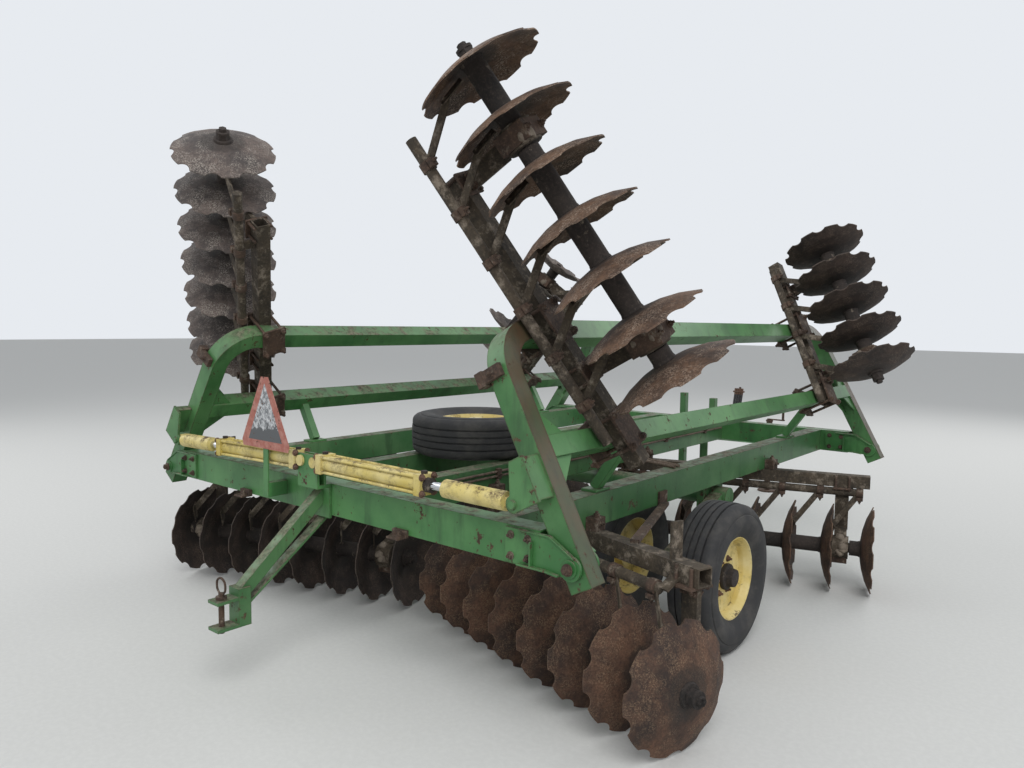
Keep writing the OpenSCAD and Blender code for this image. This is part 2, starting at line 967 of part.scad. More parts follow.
module sign() {
    side = 405;
    height = 355;
    centre_x = -300;
    back_y = -112;
    base_z = 1010;
    corner = 60;
    color("#b9564c")
        placed() {
            translate([centre_x, back_y, base_z])
                rotate([90, 0, 0])
                    linear_extrude(2)
                        polygon([[-side / 2 + 10, 0], [side / 2 - 10, 0], [side / 2, corner / 2],
                            [corner / 2, height], [-corner / 2, height], [-side / 2, corner / 2]]);
            translate([centre_x - 20, back_y, frame_bot_z + 50])
                cube([40, 6, 460]);
            translate([centre_x - 20, back_y + 5, frame_bot_z + 50])
                cube([40, -back_y - 5 - seat, 70]);
        }
}

// Spare wheel, flat on the inner rails

spare_y = 1150;
spare_x = -50;

module spare_place() {
    placed()
        translate([spare_x, spare_y, frame_top_z + seat + tyre_w / 2])
            rotate([0, -90, 0])
                children();
}

module spare_tyre() {
    color(black) spare_place() tyre();
}

module spare_rim() {
    color(yellow) spare_place() rim();
}

// Tongue with its braces, hitch plates and the jack's sleeve

jack_y_ahead = 1500;
jack_x = 105;
jack_d = 57;

tongue_h = 120;
tongue_start = [0, front_face_y + 60, frame_bot_z + 20];
tongue_tip = [0, front_face_y + tongue_len - 40, hitch_z];
tongue_fall = (tongue_start[2] - tongue_tip[2]) / (tongue_tip[1] - tongue_start[1]);

module tongue() {
    start = tongue_start;
    tip = tongue_tip;
    brace_end = start + (tip - start) * 0.5;
    sleeve_z = 480;
    color(green)
        placed() {
            translate([-260, front_face_y + seat, frame_bot_z])
                cube([520, 80, 90]);
            bar(start, tip, tube_w, tongue_h);
            for (side = [-1, 1])
                bar([side * 215, front_face_y + 40, frame_bot_z + 40], brace_end, 76, 76);
            for (z = [-60, 40])
                difference() {
                    translate([-45, tip[1] - 60, hitch_z + z])
                        cube([90, 150, 20]);
                    translate([0, front_face_y + tongue_len, hitch_z + z - 1])
                        cylinder(d = hitch_bore, h = 22);
                }
            difference() {
                union() {
                    translate([jack_x, front_face_y + jack_y_ahead, sleeve_z - 160])
                        cylinder(d = jack_d + 16, h = 330);
                    translate([40, front_face_y + jack_y_ahead - 30, sleeve_z - 60])
                        cube([jack_x - 60, 60, 90]);
                }
                translate([jack_x, front_face_y + jack_y_ahead, sleeve_z - 161])
                    cylinder(d = jack_d + 2 * pin_clear, h = 332);
            }
        }
}

module jack_leg() {
    color(rust)
        placed()
            translate([jack_x, front_face_y + jack_y_ahead, 0]) {
                cylinder(d = jack_d, h = 700);
                cylinder(d = 180, h = 12);
            }
}

module hose_stand() {
    foot_ahead = 950;
    foot_y = front_face_y + foot_ahead;
    foot_z = tongue_start[2] - tongue_fall * (foot_y - tongue_start[1]) + tongue_h / 2 + 1;
    color(rust)
        placed()
            translate([0, foot_y, foot_z])
                rotate([-atan(tongue_fall), 0, 0]) {
                    translate([-30, -30, seat])
                        cube([60, 60, 10]);
                    rod([0, 0, 6], [0, 0, 400], 20);
                }
}

// Post and plate on the rear face of the front beam, and a stub on top of the right inner rail

module front_uprights() {
    post = 50;
    post_low = 500;
    post_top = 1080;
    plate_x = 150;
    plate_w = 65;
    plate_t = 14;
    plate_top = 790;
    stub_y = frame_len - 128;
    stub_h = 188;
    color(rust)
        placed() {
            translate([-post / 2, frame_len - post - seat, post_low])
                cube([post, post, post_top - post_low]);
            translate([plate_x, frame_len - plate_t - seat, post_low])
                cube([plate_w, plate_t, plate_top - post_low]);
            translate([inner_out_x - post, stub_y - post / 2, frame_top_z + seat])
                cube([post - 2, post, stub_h]);
        }
}

rear_beam();
front_beam();
rail_right();
rail_left();
inner_rail_right();
inner_rail_left();
rear_gang_beam_right();
rear_gang_beam_left();
front_gang_beam_right();
front_gang_beam_left();
rear_gang_right();
rear_gang_left();
front_gang_right();
front_gang_left();
wing_rear_arm_right();
wing_rear_arm_left();
wing_front_arm_right();
wing_front_arm_left();
wing_outer_tube_right();
wing_outer_tube_left();
wing_mid_tube_right();
wing_mid_tube_left();
wing_rear_gang_beam_right();
wing_rear_gang_beam_left();
wing_front_gang_beam_right();
wing_front_gang_beam_left();
wing_rear_gang_right();
wing_rear_gang_left();
wing_front_gang_right();
wing_front_gang_left();
rockshaft();
wheel_tyres_right();
wheel_tyres_left();
wheel_rims_right();
wheel_rims_left();
cylinder_bracket();
fold_barrel_right();
fold_barrel_left();
fold_rod_right();
fold_rod_left();
lift_anchor();
lift_barrel();
lift_rod();
rear_hitch();
sign();
spare_tyre();
spare_rim();
tongue();
jack_leg();
hose_stand();
front_uprights();
rear_gang_braces();
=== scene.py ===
"""Looks of a tandem disc harrow with folded wings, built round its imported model."""

import math
import random
from collections import namedtuple

import bmesh
import bpy
from mathutils import Matrix, Vector


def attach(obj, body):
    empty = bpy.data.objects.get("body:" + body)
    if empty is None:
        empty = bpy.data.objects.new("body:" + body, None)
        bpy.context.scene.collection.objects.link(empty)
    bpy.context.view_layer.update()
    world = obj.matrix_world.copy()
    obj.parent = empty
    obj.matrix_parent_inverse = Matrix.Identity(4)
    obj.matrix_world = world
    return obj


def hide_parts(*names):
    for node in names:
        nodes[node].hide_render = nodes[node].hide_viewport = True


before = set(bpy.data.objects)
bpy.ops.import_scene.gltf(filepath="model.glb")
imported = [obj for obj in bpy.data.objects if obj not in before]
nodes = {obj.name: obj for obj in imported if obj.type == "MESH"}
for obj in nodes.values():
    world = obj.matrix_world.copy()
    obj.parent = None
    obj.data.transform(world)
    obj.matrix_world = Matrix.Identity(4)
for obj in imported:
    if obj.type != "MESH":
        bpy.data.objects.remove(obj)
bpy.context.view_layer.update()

# Places and sizes that the part's source also holds, in metres
REAR_Y = -2.745
FRAME_LEN = 3.728
TUBE_H = 0.152
TUBE_W = 0.102
FRAME_TOP = 0.872
FRAME_BOT = FRAME_TOP - TUBE_H
FRONT_FACE = FRAME_LEN + TUBE_W
RAIL_OUT = 1.126
INNER_OUT = 0.337
HINGE_X = 1.471
HINGE_Z = 0.759
HINGE_PLATE_T = 0.012
FOLD = {1: math.radians(118), -1: math.radians(124)}
WING_REACH = 0.950
WING_MID = 0.450
WING_TUBE = 0.100
ARM_W = 0.088
PITCH = 0.229
GANG_Z = 0.271
GANG_BEAM = 0.076
WING_DROP = 0.450
SEAT = 0.0003
TYRE_R = 0.376
TYRE_W = 0.240
RIM_R = 0.215
AXLE_Y = 1.413
WHEEL_X = 1.108
TWIN_HALF = 0.293
SPARE = (-0.050, 1.150)
CYL_BACK = 0.056
CYL_PIN_Z = 0.980
CYL_PIN_X = 0.050
BARREL_LEN = 0.700
LUG_S = 0.289
LUG_H = 0.083
DRAWPIN_Y = -0.530
JACK_X = 0.105
JACK_Y = FRONT_FACE + 1.500
SIGN_X = -0.300
SIGN_Z = 1.010
SIGN_H = 0.400
SIGN_HALF = 0.2025
SIGN_BACK = REAR_Y - 0.1121
SIDES = {1: "right", -1: "left"}
# One row for each gang: its first disc's place, its turn in plan, how many discs and which way they open,
# how far its beam and its scraper pipe lie beside the shaft, the pipe's height over the beam's underside,
# and which gap between discs, counted from the end, holds the last bearing
Gang = namedtuple("Gang", "x y turn count dish beam_off pipe_off pipe_rise last")
GANGS = {
    "rear": Gang(0.255, 0.773, -16.5, 8, -1, 0.122, 0.020, -0.024, 1),
    "front": Gang(0.162, 2.330, 16.5, 8, 1, 0.065, 0.040, -0.030, 1),
}
WING_GANGS = {
    "rear": Gang(0.600, 0.440, -20, 7, -1, 0.020, -0.100, 0.038, 2),
    "front": Gang(0.440, 3.088, 15, 5, 1, 0.008, -0.080, 0.038, 1),
}

# Camera solved from the photograph: degrees, millimetres, and metres from the rear beam
CAMERA_YAW = 39.649
CAMERA_PITCH = -4.4545
CAMERA_ROLL = 0.7625
CAMERA_LENS = 27.49
CAMERA_SENSOR = 36
CAMERA_PLACE = (3.0687, -2.2785, 1.6435)

# Colours as linear red, green and blue
CHIP_DARK = (0.042, 0.024, 0.016)
CHIP_LIGHT = (0.115, 0.058, 0.034)
SOIL_DARK = (0.060, 0.047, 0.032)
SOIL_LIGHT = (0.20, 0.17, 0.12)
CLOD_DARK = (0.10, 0.075, 0.055)
CLOD_LIGHT = (0.33, 0.28, 0.22)
DUST = (0.14, 0.14, 0.095)
STAIN = (0.016, 0.013, 0.011)
SPECK = (0.33, 0.25, 0.19)
SPECK_GOLDEN = (0.30, 0.20, 0.12)
SPECK_PALE = (0.34, 0.30, 0.26)
SPOT_DARK = (0.035, 0.025, 0.02)
SPOT_LIGHT = (0.13, 0.075, 0.04)
SPOT_EDGE = (0.16, 0.08, 0.045)
TYRE_BLACK = (0.022, 0.022, 0.023)
TYRE_DUST = (0.085, 0.078, 0.070)
TYRE_MOSS = (0.12, 0.12, 0.055)
SIGN_RED = (0.34, 0.115, 0.085)
SIGN_FADED = (0.43, 0.21, 0.17)
SIGN_PEELED = (0.17, 0.18, 0.19)
SIGN_PALE = (0.56, 0.57, 0.58)
SIGN_FOOT = (0.095, 0.10, 0.105)
SIGN_RUST = (0.10, 0.05, 0.03)
FLOOR = (0.62, 0.62, 0.60)
SKY_LIGHT = (0.93, 0.96, 1.0, 1)
SKY_SEEN = (0.80, 0.83, 0.87, 1)
SKY_LIGHT_STRENGTH = 0.62

# Samples for shading the edges of a surface
BEVEL_SAMPLES = 4
# Width of the broken edges of blocks
EDGE_BREAK = 0.0015
# How many waves swell a lump of soil, and how much
LUMP_WAVES = 5
LUMP_ROUGHNESS = 0.35

# A bolt's measures as shares of its width across the flats: half across its corners below and above
HEX_LOW = 0.577
HEX_HIGH = 0.54
HEX_HEIGHT = 0.62
WASHER_R = 0.78
THREAD_R = 0.28
WASHER_T = 0.003

# A tyre's side from the rim up: radius past the rim's, and how far in from the widest place
TYRE_SIDE = (
    (-0.006, 0.034),
    (0.012, 0.024),
    (0.030, 0.011),
    (0.050, 0.004),
    (0.072, 0.000),
    (0.090, 0.001),
    (0.106, 0.004),
    (0.110, 0.009),
)
# Its shoulder: depth below the tread, and how far in from the widest place
TYRE_SHOULDER = ((0.040, 0.007), (0.024, 0.013), (0.012, 0.023))
# Its ribs and grooves: depth below the tread, and place from the middle
GROOVE = 0.009
TYRE_RIBS = (
    (0.006, 0.088),
    (0.003, 0.072),
    (0.003, 0.060),
    (0.003 + GROOVE, 0.058),
    (0.003 + GROOVE, 0.052),
    (0.001, 0.050),
    (0.000, 0.038),
    (0.000, 0.022),
    (GROOVE, 0.020),
    (GROOVE, 0.014),
    (0.000, 0.012),
)
# A hub cap's outline: radius, and how far out from the wheel's middle
HUB_CAP = (
    (0.066, 0.030),
    (0.068, 0.040),
    (0.066, 0.050),
    (0.050, 0.056),
    (0.047, 0.070),
    (0.044, 0.086),
    (0.034, 0.0885),
    (0.0, 0.0885),
    (0.0, 0.030),
)
# The drawpin's loop: place across the machine, and height
PIN_LOOP = (
    (0.010, 0.455),
    (0.032, 0.478),
    (0.030, 0.512),
    (0, 0.528),
    (-0.030, 0.512),
    (-0.032, 0.478),
    (-0.010, 0.455),
)
# Area lamps: name, place, power and size
LAMPS = (
    ("key", (6.0, -7.0, 8.5), 620, 6.0),
    ("fill", (-8.0, -5.0, 6.0), 260, 7.0),
    ("back", (2.0, 9.0, 7.0), 300, 6.0),
)
LAMPS_AIM = (0, 0, 0.8)


def machine(x, y, z):
    """A place measured from the rear beam's rear face, in the object's frame."""
    return Vector((x, y + REAR_Y, z))


def camera():
    """The camera, whose place and turn match the photograph."""
    yaw = math.radians(CAMERA_YAW)
    pitch = math.radians(CAMERA_PITCH)
    roll = math.radians(CAMERA_ROLL)
    level = math.cos(pitch)
    forward = Vector((-math.sin(yaw) * level, math.cos(yaw) * level, math.sin(pitch)))
    right = Vector((math.cos(yaw), math.sin(yaw), 0))
    up = right.cross(forward)
    right_rolled = right * math.cos(roll) + up * math.sin(roll)
    up_rolled = up * math.cos(roll) - right * math.sin(roll)
    data = bpy.data.cameras.new("camera")
    data.sensor_width = CAMERA_SENSOR
    data.lens = CAMERA_LENS
    cam = bpy.data.objects.new("camera", data)
    bpy.context.scene.collection.objects.link(cam)
    axes = Matrix((right_rolled, up_rolled, -forward)).transposed()
    cam.matrix_world = Matrix.Translation(machine(*CAMERA_PLACE)) @ axes.to_4x4()
    bpy.context.scene.camera = cam


class Finish:
    """A material whose node tree is written with short calls. Textures use object coordinates."""

    def __init__(self, name):
        self.material = bpy.data.materials.new(name)
        self.material.use_nodes = True
        self.tree = self.material.node_tree
        self.shader = self.tree.nodes["Principled BSDF"]
        coordinates = self.tree.nodes.new("ShaderNodeTexCoord")
        self.place = coordinates.outputs["Object"]
        self.normal = coordinates.outputs["Normal"]

    def link(self, value, socket):
        """Joins another node's output to the socket, or sets the socket's own value."""
        if isinstance(value, bpy.types.NodeSocket):
            self.tree.links.new(value, socket)
        elif isinstance(value, tuple) and len(value) == 3 and socket.type == "RGBA":
            socket.default_value = (*value, 1)
        else:
            socket.default_value = value

    def math(self, operation, a, b=0.0):
        node = self.tree.nodes.new("ShaderNodeMath")
        node.operation = operation
        self.link(a, node.inputs[0])
        self.link(b, node.inputs[1])
        return node.outputs[0]

    def times(self, a, b):
        return self.math("MULTIPLY", a, b)

    def plus(self, a, b):
        return self.math("ADD", a, b)

    def minus(self, a, b):
        return self.math("SUBTRACT", a, b)

    def most(self, a, b):
        return self.math("MAXIMUM", a, b)

    def noise(self, scale, detail, roughness=0.55, stretch=(1, 1, 1), offset=0.0):
        node = self.tree.nodes.new("ShaderNodeTexNoise")
        mapping = self.tree.nodes.new("ShaderNodeMapping")
        self.link(self.place, mapping.inputs["Vector"])
        mapping.inputs["Location"].default_value = (offset, offset * 0.7, offset * 1.3)
        mapping.inputs["Scale"].default_value = stretch
        self.link(mapping.outputs[0], node.inputs["Vector"])
        node.inputs["Scale"].default_value = scale
        node.inputs["Detail"].default_value = detail
        node.inputs["Roughness"].default_value = roughness
        return node.outputs["Fac"]

    def cells(self, scale):
        """Distance from the middles of random cells."""
        node = self.tree.nodes.new("ShaderNodeTexVoronoi")
        self.link(self.place, node.inputs["Vector"])
        node.inputs["Scale"].default_value = scale
        return node.outputs["Distance"]

    def step(self, value, low, high):
        """0 below low, 1 above high, smooth between them."""
        node = self.tree.nodes.new("ShaderNodeMapRange")
        node.interpolation_type = "SMOOTHSTEP"
        self.link(value, node.inputs["Value"])
        node.inputs["From Min"].default_value = low
        node.inputs["From Max"].default_value = high
        return node.outputs["Result"]

    def mix(self, amount, a, b):
        """Colour a where the amount is 0, colour b where it is 1."""
        node = self.tree.nodes.new("ShaderNodeMix")
        node.data_type = "RGBA"
        self.link(amount, node.inputs["Factor"])
        self.link(a, node.inputs[6])
        self.link(b, node.inputs[7])
        return node.outputs[2]

    def between(self, amount, low, high):
        """A grey value from low to high."""
        return self.mix(amount, (low, low, low), (high, high, high))

    def vector(self, operation, a, b):
        node = self.tree.nodes.new("ShaderNodeVectorMath")
        node.operation = operation
        self.link(a, node.inputs[0])
        self.link(b, node.inputs[1])
        return node

    def from_line(self, point, axis):
        """Distance from a line."""
        away = self.vector("SUBTRACT", self.place, point).outputs[0]
        across = self.vector("CROSS_PRODUCT", away, axis).outputs[0]
        size = self.tree.nodes.new("ShaderNodeVectorMath")
        size.operation = "LENGTH"
        self.link(across, size.inputs[0])
        return size.outputs["Value"]

    def split(self, vector):
        node = self.tree.nodes.new("ShaderNodeSeparateXYZ")
        self.link(vector, node.inputs[0])
        return node.outputs

    def upward(self, low=0.45, high=0.85):
        """1 on faces that look up when the wings are folded."""
        return self.step(self.split(self.normal)[2], low, high)

    def rounded(self, radius):
        """The normal of the surface as if its edges were rounded."""
        node = self.tree.nodes.new("ShaderNodeBevel")
        node.samples = BEVEL_SAMPLES
        node.inputs["Radius"].default_value = radius
        return node.outputs[0]

    def edges(self, radius, low=0.02, high=0.22):
        """1 near sharp edges."""
        soft = self.rounded(radius)
        geometry = self.tree.nodes.new("ShaderNodeNewGeometry")
        dot = self.vector("DOT_PRODUCT", soft, geometry.outputs["Normal"])
        return self.step(self.minus(1.0, dot.outputs["Value"]), low, high)

    def finish(self, colour, roughness, height, strength, distance, metallic=0.0, round_by=0.0):
        """Joins the colour, the bumps of the height and the rounded edges to the shader."""
        self.link(colour, self.shader.inputs["Base Color"])
        self.link(roughness, self.shader.inputs["Roughness"])
        self.link(metallic, self.shader.inputs["Metallic"])
        soft = self.rounded(round_by) if round_by else None
        bump = self.tree.nodes.new("ShaderNodeBump")
        bump.inputs["Strength"].default_value = strength
        bump.inputs["Distance"].default_value = distance
        self.link(height, bump.inputs["Height"])
        if soft:
            self.link(soft, bump.inputs["Normal"])
        self.link(bump.outputs[0], self.shader.inputs["Normal"])
        return self.material


def shade(colour, by, plus=0.0):
    return tuple(c * by + plus for c in colour)


def painted(name, base, faded, amount, edge_rust, edge_width=0.006):
    """Faded paint. The amount sets its chips and soil, edge_rust how much of its edges is bare."""
    f = Finish(name)
    broad = f.noise(scale=2.2, detail=5, roughness=0.6)
    fine = f.noise(scale=45, detail=6, roughness=0.65)
    streak = f.noise(scale=9, detail=5, roughness=0.65, stretch=(1, 1, 0.18))
    paint = f.mix(f.step(broad, 0.35, 0.68), base, faded)
    dirt = f.times(f.step(streak, 0.50, 0.70), 0.55)
    paint = f.mix(dirt, paint, shade(base, 0.35, 0.008))
    rust = f.mix(f.step(fine, 0.35, 0.7), CHIP_DARK, CHIP_LIGHT)
    coarse = f.noise(scale=7, detail=8, roughness=0.7)
    patchy = f.times(coarse, f.noise(scale=28, detail=6, roughness=0.7, offset=3.0))
    chips = f.step(patchy, 0.352 - 0.03 * amount, 0.376)
    worn_noise = f.noise(scale=16, detail=6, roughness=0.7, offset=5.0)
    worn = f.times(f.edges(edge_width), f.step(worn_noise, 0.60 - 0.3 * edge_rust, 0.66))
    soil_noise = f.noise(scale=12, detail=7, roughness=0.7, offset=9.0)
    soil = f.times(f.upward(), f.step(soil_noise, 0.58 - 0.25 * amount, 0.66))
    soil_colour = f.mix(f.step(fine, 0.4, 0.62), SOIL_DARK, SOIL_LIGHT)
    dust = f.times(f.upward(0.1, 0.9), 0.22)
    colour = f.mix(dust, paint, DUST)
    colour = f.mix(f.most(chips, worn), colour, rust)
    colour = f.mix(soil, colour, soil_colour)
    bare = f.most(f.most(chips, worn), soil)
    roughness = f.between(bare, 0.42, 0.9)
    height = f.minus(f.times(fine, 0.5), f.times(chips, 0.6))
    return f.finish(colour, roughness, height, strength=0.35, distance=0.0015, round_by=0.004)


def rusty(name, dark, light, soil, scale=1.0):
    """Rusted steel, blotched and pitted, with as much dried soil as is asked for."""
    f = Finish(name)
    blotch = f.noise(scale=6 * scale, detail=8, roughness=0.7)
    fine = f.noise(scale=70 * scale, detail=8, roughness=0.75, offset=2.0)
    pits = f.cells(160 * scale)
    colour = f.mix(f.step(blotch, 0.3, 0.72), dark, light)
    colour = f.mix(f.times(f.step(fine, 0.45, 0.75), 0.7), colour, shade(light, 1.9))
    spots = f.noise(scale=19, detail=6, roughness=0.7, offset=6.0)
    colour = f.mix(f.times(f.step(spots, 0.55, 0.75), 0.6), colour, dark)
    caked = f.noise(scale=14, detail=9, roughness=0.75, offset=4.0)
    mask = f.step(caked, 0.62 - 0.3 * soil, 0.7 - 0.1 * soil)
    colour = f.mix(mask, colour, f.mix(fine, CLOD_DARK, CLOD_LIGHT))
    height = f.plus(f.times(fine, 0.8), f.times(pits, 0.5))
    return f.finish(colour, 0.88, height, strength=0.55, distance=0.002, round_by=0.003)


def disc_finish(name, look, m):
    """Rust on worn discs, with lighter specks in uneven patches and a dark stain round the shaft."""
    f = Finish(name)
    blotch = f.noise(scale=5, detail=9, roughness=0.72)
    grain = f.noise(scale=95, detail=6, roughness=0.75)
    patches = f.step(f.noise(scale=11, detail=7, roughness=0.75, offset=3.0), 0.42, 0.60)
    dots = f.step(f.noise(scale=150, detail=3, roughness=0.8, offset=8.0), 0.49, 0.58)
    specks = f.times(dots, patches)
    colour = f.mix(f.step(blotch, 0.35, 0.66), look.dark, look.light)
    colour = f.mix(f.times(f.step(grain, 0.42, 0.66), 0.6), colour, shade(look.dark, 0.5))
    colour = f.mix(f.times(specks, look.speckle), colour, look.speck)
    colour = f.mix(f.times(f.edges(0.004, 0.05, 0.4), 0.35), colour, look.speck)
    height = f.plus(grain, f.times(specks, 0.4))
    radius = f.from_line(m.translation, m.col[0].xyz.normalized())
    ragged = f.plus(radius, f.times(f.minus(f.noise(scale=17, detail=6, roughness=0.7), 0.5), 0.10))
    stain = f.minus(1.0, f.step(ragged, 0.090, 0.128))
    colour = f.mix(f.times(stain, 0.65), colour, STAIN)
    return f.finish(colour, f.between(blotch, 0.65, 0.92), height, strength=0.5, distance=0.0015)


def speckled_yellow(name, dirt, base, faded):
    """Yellow paint with dark specks and stains."""
    f = Finish(name)
    paint = f.mix(f.step(f.noise(scale=4, detail=5, roughness=0.6), 0.35, 0.7), base, faded)
    small = f.noise(scale=60, detail=6, roughness=0.8)
    specks = f.times(small, f.noise(scale=14, detail=4, roughness=0.6, offset=2.0))
    specks = f.step(specks, 0.29 - 0.05 * dirt, 0.36)
    stained = f.noise(scale=10, detail=8, roughness=0.75, offset=7.0)
    stain = f.step(stained, 0.66 - 0.16 * dirt, 0.72)
    dark = f.mix(f.noise(scale=80, detail=4), SPOT_DARK, SPOT_LIGHT)
    upper = f.plus(f.times(f.upward(0.0, 0.9), 0.6), 0.4)
    marks = f.times(f.most(specks, stain), upper)
    colour = f.mix(marks, paint, dark)
    chipped = f.edges(0.004)
    edge = f.times(chipped, f.step(f.noise(scale=30, detail=5, roughness=0.7, offset=1.0), 0.5, 0.6))
    colour = f.mix(edge, colour, SPOT_EDGE)
    roughness = f.between(marks, 0.45, 0.85)
    height = f.noise(scale=50, detail=5, roughness=0.7)
    return f.finish(colour, roughness, height, strength=0.25, distance=0.001, round_by=0.003)


def rubber(name):
    """Weathered tyre rubber with dust in its grooves and on its walls."""
    f = Finish(name)
    dust = f.step(f.noise(scale=8, detail=7, roughness=0.7), 0.42, 0.72)
    colour = f.mix(f.times(dust, 0.55), TYRE_BLACK, TYRE_DUST)
    moss = f.step(f.noise(scale=5, detail=6, roughness=0.7, offset=4.0), 0.62, 0.75)
    colour = f.mix(f.times(moss, 0.35), colour, TYRE_MOSS)
    height = f.noise(scale=130, detail=5, roughness=0.7)
    return f.finish(colour, 0.72, height, strength=0.25, distance=0.001)


def plain(name, colour, roughness, metallic=0.0, variation=0.25):
    """One colour, a little darker in places."""
    f = Finish(name)
    cloudy = f.step(f.noise(scale=40, detail=5, roughness=0.65), 0.35, 0.7)
    varied = f.mix(cloudy, shade(colour, 1 - variation), colour)
    height = f.noise(scale=120, detail=4)
    return f.finish(varied, roughness, height, strength=0.12, distance=0.0008, metallic=metallic)


def sign_finish():
    """Faded red border round a weathered pale middle with a dark foot."""
    border = 0.040
    border_blur = 0.003
    foot_high = 0.105
    foot_ragged = 0.22
    foot_blur = 0.006
    f = Finish("sign_face")
    x, _, z = f.split(f.place)
    across = f.math("ABSOLUTE", f.minus(x, SIGN_X))
    rise = f.minus(z, SIGN_Z)
    side_gap = f.minus(f.minus(SIGN_HALF, f.times(rise, SIGN_HALF / SIGN_H)), across)
    gap = f.math("MINIMUM", side_gap, rise)
    inner = f.step(gap, border - border_blur, border)
    fading = f.step(f.noise(scale=22, detail=6, roughness=0.7), 0.4, 0.68)
    red = f.mix(fading, SIGN_RED, SIGN_FADED)
    peel = f.noise(scale=55, detail=9, roughness=0.75)
    pale = f.mix(f.step(peel, 0.42, 0.60), SIGN_PEELED, SIGN_PALE)
    ragged = f.minus(f.noise(scale=30, detail=6, roughness=0.7), 0.5)
    foot_edge = f.plus(foot_high, f.times(ragged, foot_ragged))
    foot = f.step(f.minus(foot_edge, rise), -foot_blur, foot_blur)
    colour = f.mix(inner, red, f.mix(foot, pale, SIGN_FOOT))
    spots = f.noise(scale=18, detail=7, roughness=0.75, offset=3.0)
    rust = f.step(f.times(spots, f.noise(scale=70, detail=5)), 0.33, 0.37)
    colour = f.mix(rust, colour, SIGN_RUST)
    return f.finish(colour, 0.75, peel, strength=0.3, distance=0.0008)


GREEN = painted("green_paint", (0.036, 0.145, 0.040), (0.088, 0.245, 0.080), 0.6, 0.7)
GREEN_ARM = painted("green_paint_worn", (0.040, 0.138, 0.040), (0.095, 0.235, 0.085), 0.9, 1.1, 0.014)
GREEN_DIRTY = painted("green_paint_dirty", (0.036, 0.125, 0.040), (0.090, 0.200, 0.080), 1.1, 0.9, 0.008)
GREEN_RUSTED = painted("green_paint_rusted", (0.045, 0.072, 0.030), (0.098, 0.045, 0.026), 2.0, 1.4, 0.02)
RUST = rusty("rusty_steel", (0.030, 0.020, 0.015), (0.090, 0.054, 0.036), 0.3)
RUST_BEAM = rusty("rusty_beam", (0.022, 0.018, 0.013), (0.070, 0.052, 0.034), 0.42)
SHAFT = rusty("shaft_rust", (0.014, 0.012, 0.011), (0.040, 0.030, 0.025), 0.15)
CLAY = rusty("dried_soil", (0.080, 0.060, 0.045), (0.200, 0.165, 0.130), 1.0, 1.4)
YELLOW = speckled_yellow("yellow_cylinder", 1.25, (0.56, 0.44, 0.10), (0.66, 0.56, 0.25))
YELLOW_RIM = speckled_yellow("yellow_rim", 0.35, (0.64, 0.49, 0.14), (0.74, 0.64, 0.34))
RUBBER = rubber("tyre_rubber")
CHROME = plain("chrome_rod", (0.62, 0.63, 0.65), 0.18, metallic=1.0, variation=0.1)
HOSE = plain("black_hose", (0.018, 0.018, 0.020), 0.6)
BOLT = rusty("bolt_steel", (0.070, 0.038, 0.026), (0.160, 0.090, 0.060), 0.2, 2.0)
PIPE = rusty("steel_pipe", (0.055, 0.040, 0.030), (0.145, 0.105, 0.075), 0.3)

# How the discs of a gang look: two rust colours, in one look darkened as painted shade, their specks'
# colour and how much of it shows
Look = namedtuple("Look", "dark light speck speckle")
DISC_LIT = Look((0.034, 0.020, 0.014), (0.155, 0.086, 0.050), SPECK, 0.75)
DISC_GROUND = Look((0.026, 0.014, 0.010), (0.125, 0.062, 0.036), SPECK_GOLDEN, 0.40)
# Painted shade: a much darker rust with few specks stands in for the shadow on the gangs that lie in
# shade
DISC_PAINTED_SHADE = Look((0.020, 0.014, 0.012), (0.062, 0.040, 0.030), SPECK, 0.25)
DISC_PALE = Look((0.055, 0.045, 0.042), (0.145, 0.110, 0.094), SPECK_PALE, 0.9)
# The gangs that stand in shadow take the painted shade look
DISC_LOOKS = {
    "wing_rear_gang_right": DISC_LIT,
    "wing_rear_gang_left": DISC_PALE,
    "wing_front_gang_left": DISC_PALE,
    "wing_front_gang_right": DISC_PAINTED_SHADE,
    "rear_gang_right": DISC_GROUND,
    "front_gang_right": DISC_GROUND,
    "rear_gang_left": DISC_PAINTED_SHADE,
    "front_gang_left": DISC_PAINTED_SHADE,
}
RUSTY_NODES = ("jack_leg", "hose_stand", "rear_gang_braces")
DIRTY_NODES = (
    "rail_right",
    "rail_left",
    "inner_rail_right",
    "inner_rail_left",
    "rockshaft",
    "rear_hitch",
    "front_uprights",
)


def node_finish(name):
    """The finish of a whole CAD node."""
    if "rim" in name:
        return YELLOW_RIM
    if name.startswith("fold_") or name == "lift_barrel":
        return YELLOW
    if name == "lift_rod":
        return CHROME
    if "tyre" in name:
        return RUBBER
    if name in RUSTY_NODES:
        return RUST
    if "gang" in name:
        return RUST_BEAM
    if name in DIRTY_NODES:
        return GREEN_DIRTY
    if name.startswith("wing_") and "_arm_" in name:
        return GREEN_ARM
    return GREEN


def part_finish(name, finish, test):
    """Gives the finish to the faces of a CAD node whose middle passes the test."""
    mesh = nodes[name].data
    mesh.materials.append(finish)
    slot = len(mesh.materials) - 1
    for face in mesh.polygons:
        if test(face.center):
            face.material_index = slot


def smooth_by_angle(obj, degrees):
    """Shades the object smooth up to an angle."""
    mesh = obj.data
    limit = math.cos(math.radians(degrees))
    bm = bmesh.new()
    bm.from_mesh(mesh)
    sharp = set()
    for edge in bm.edges:
        faces = edge.link_faces
        if len(faces) != 2 or faces[0].normal.dot(faces[1].normal) < limit:
            sharp.add(edge.index)
    bm.free()
    mesh.shade_smooth()
    for edge in mesh.edges:
        edge.use_edge_sharp = edge.index in sharp


def dress_nodes():
    """One finish on each CAD node. Later calls give some faces another."""
    for name, obj in nodes.items():
        obj.data.materials.clear()
        obj.data.materials.append(node_finish(name))
        for face in obj.data.polygons:
            face.material_index = 0


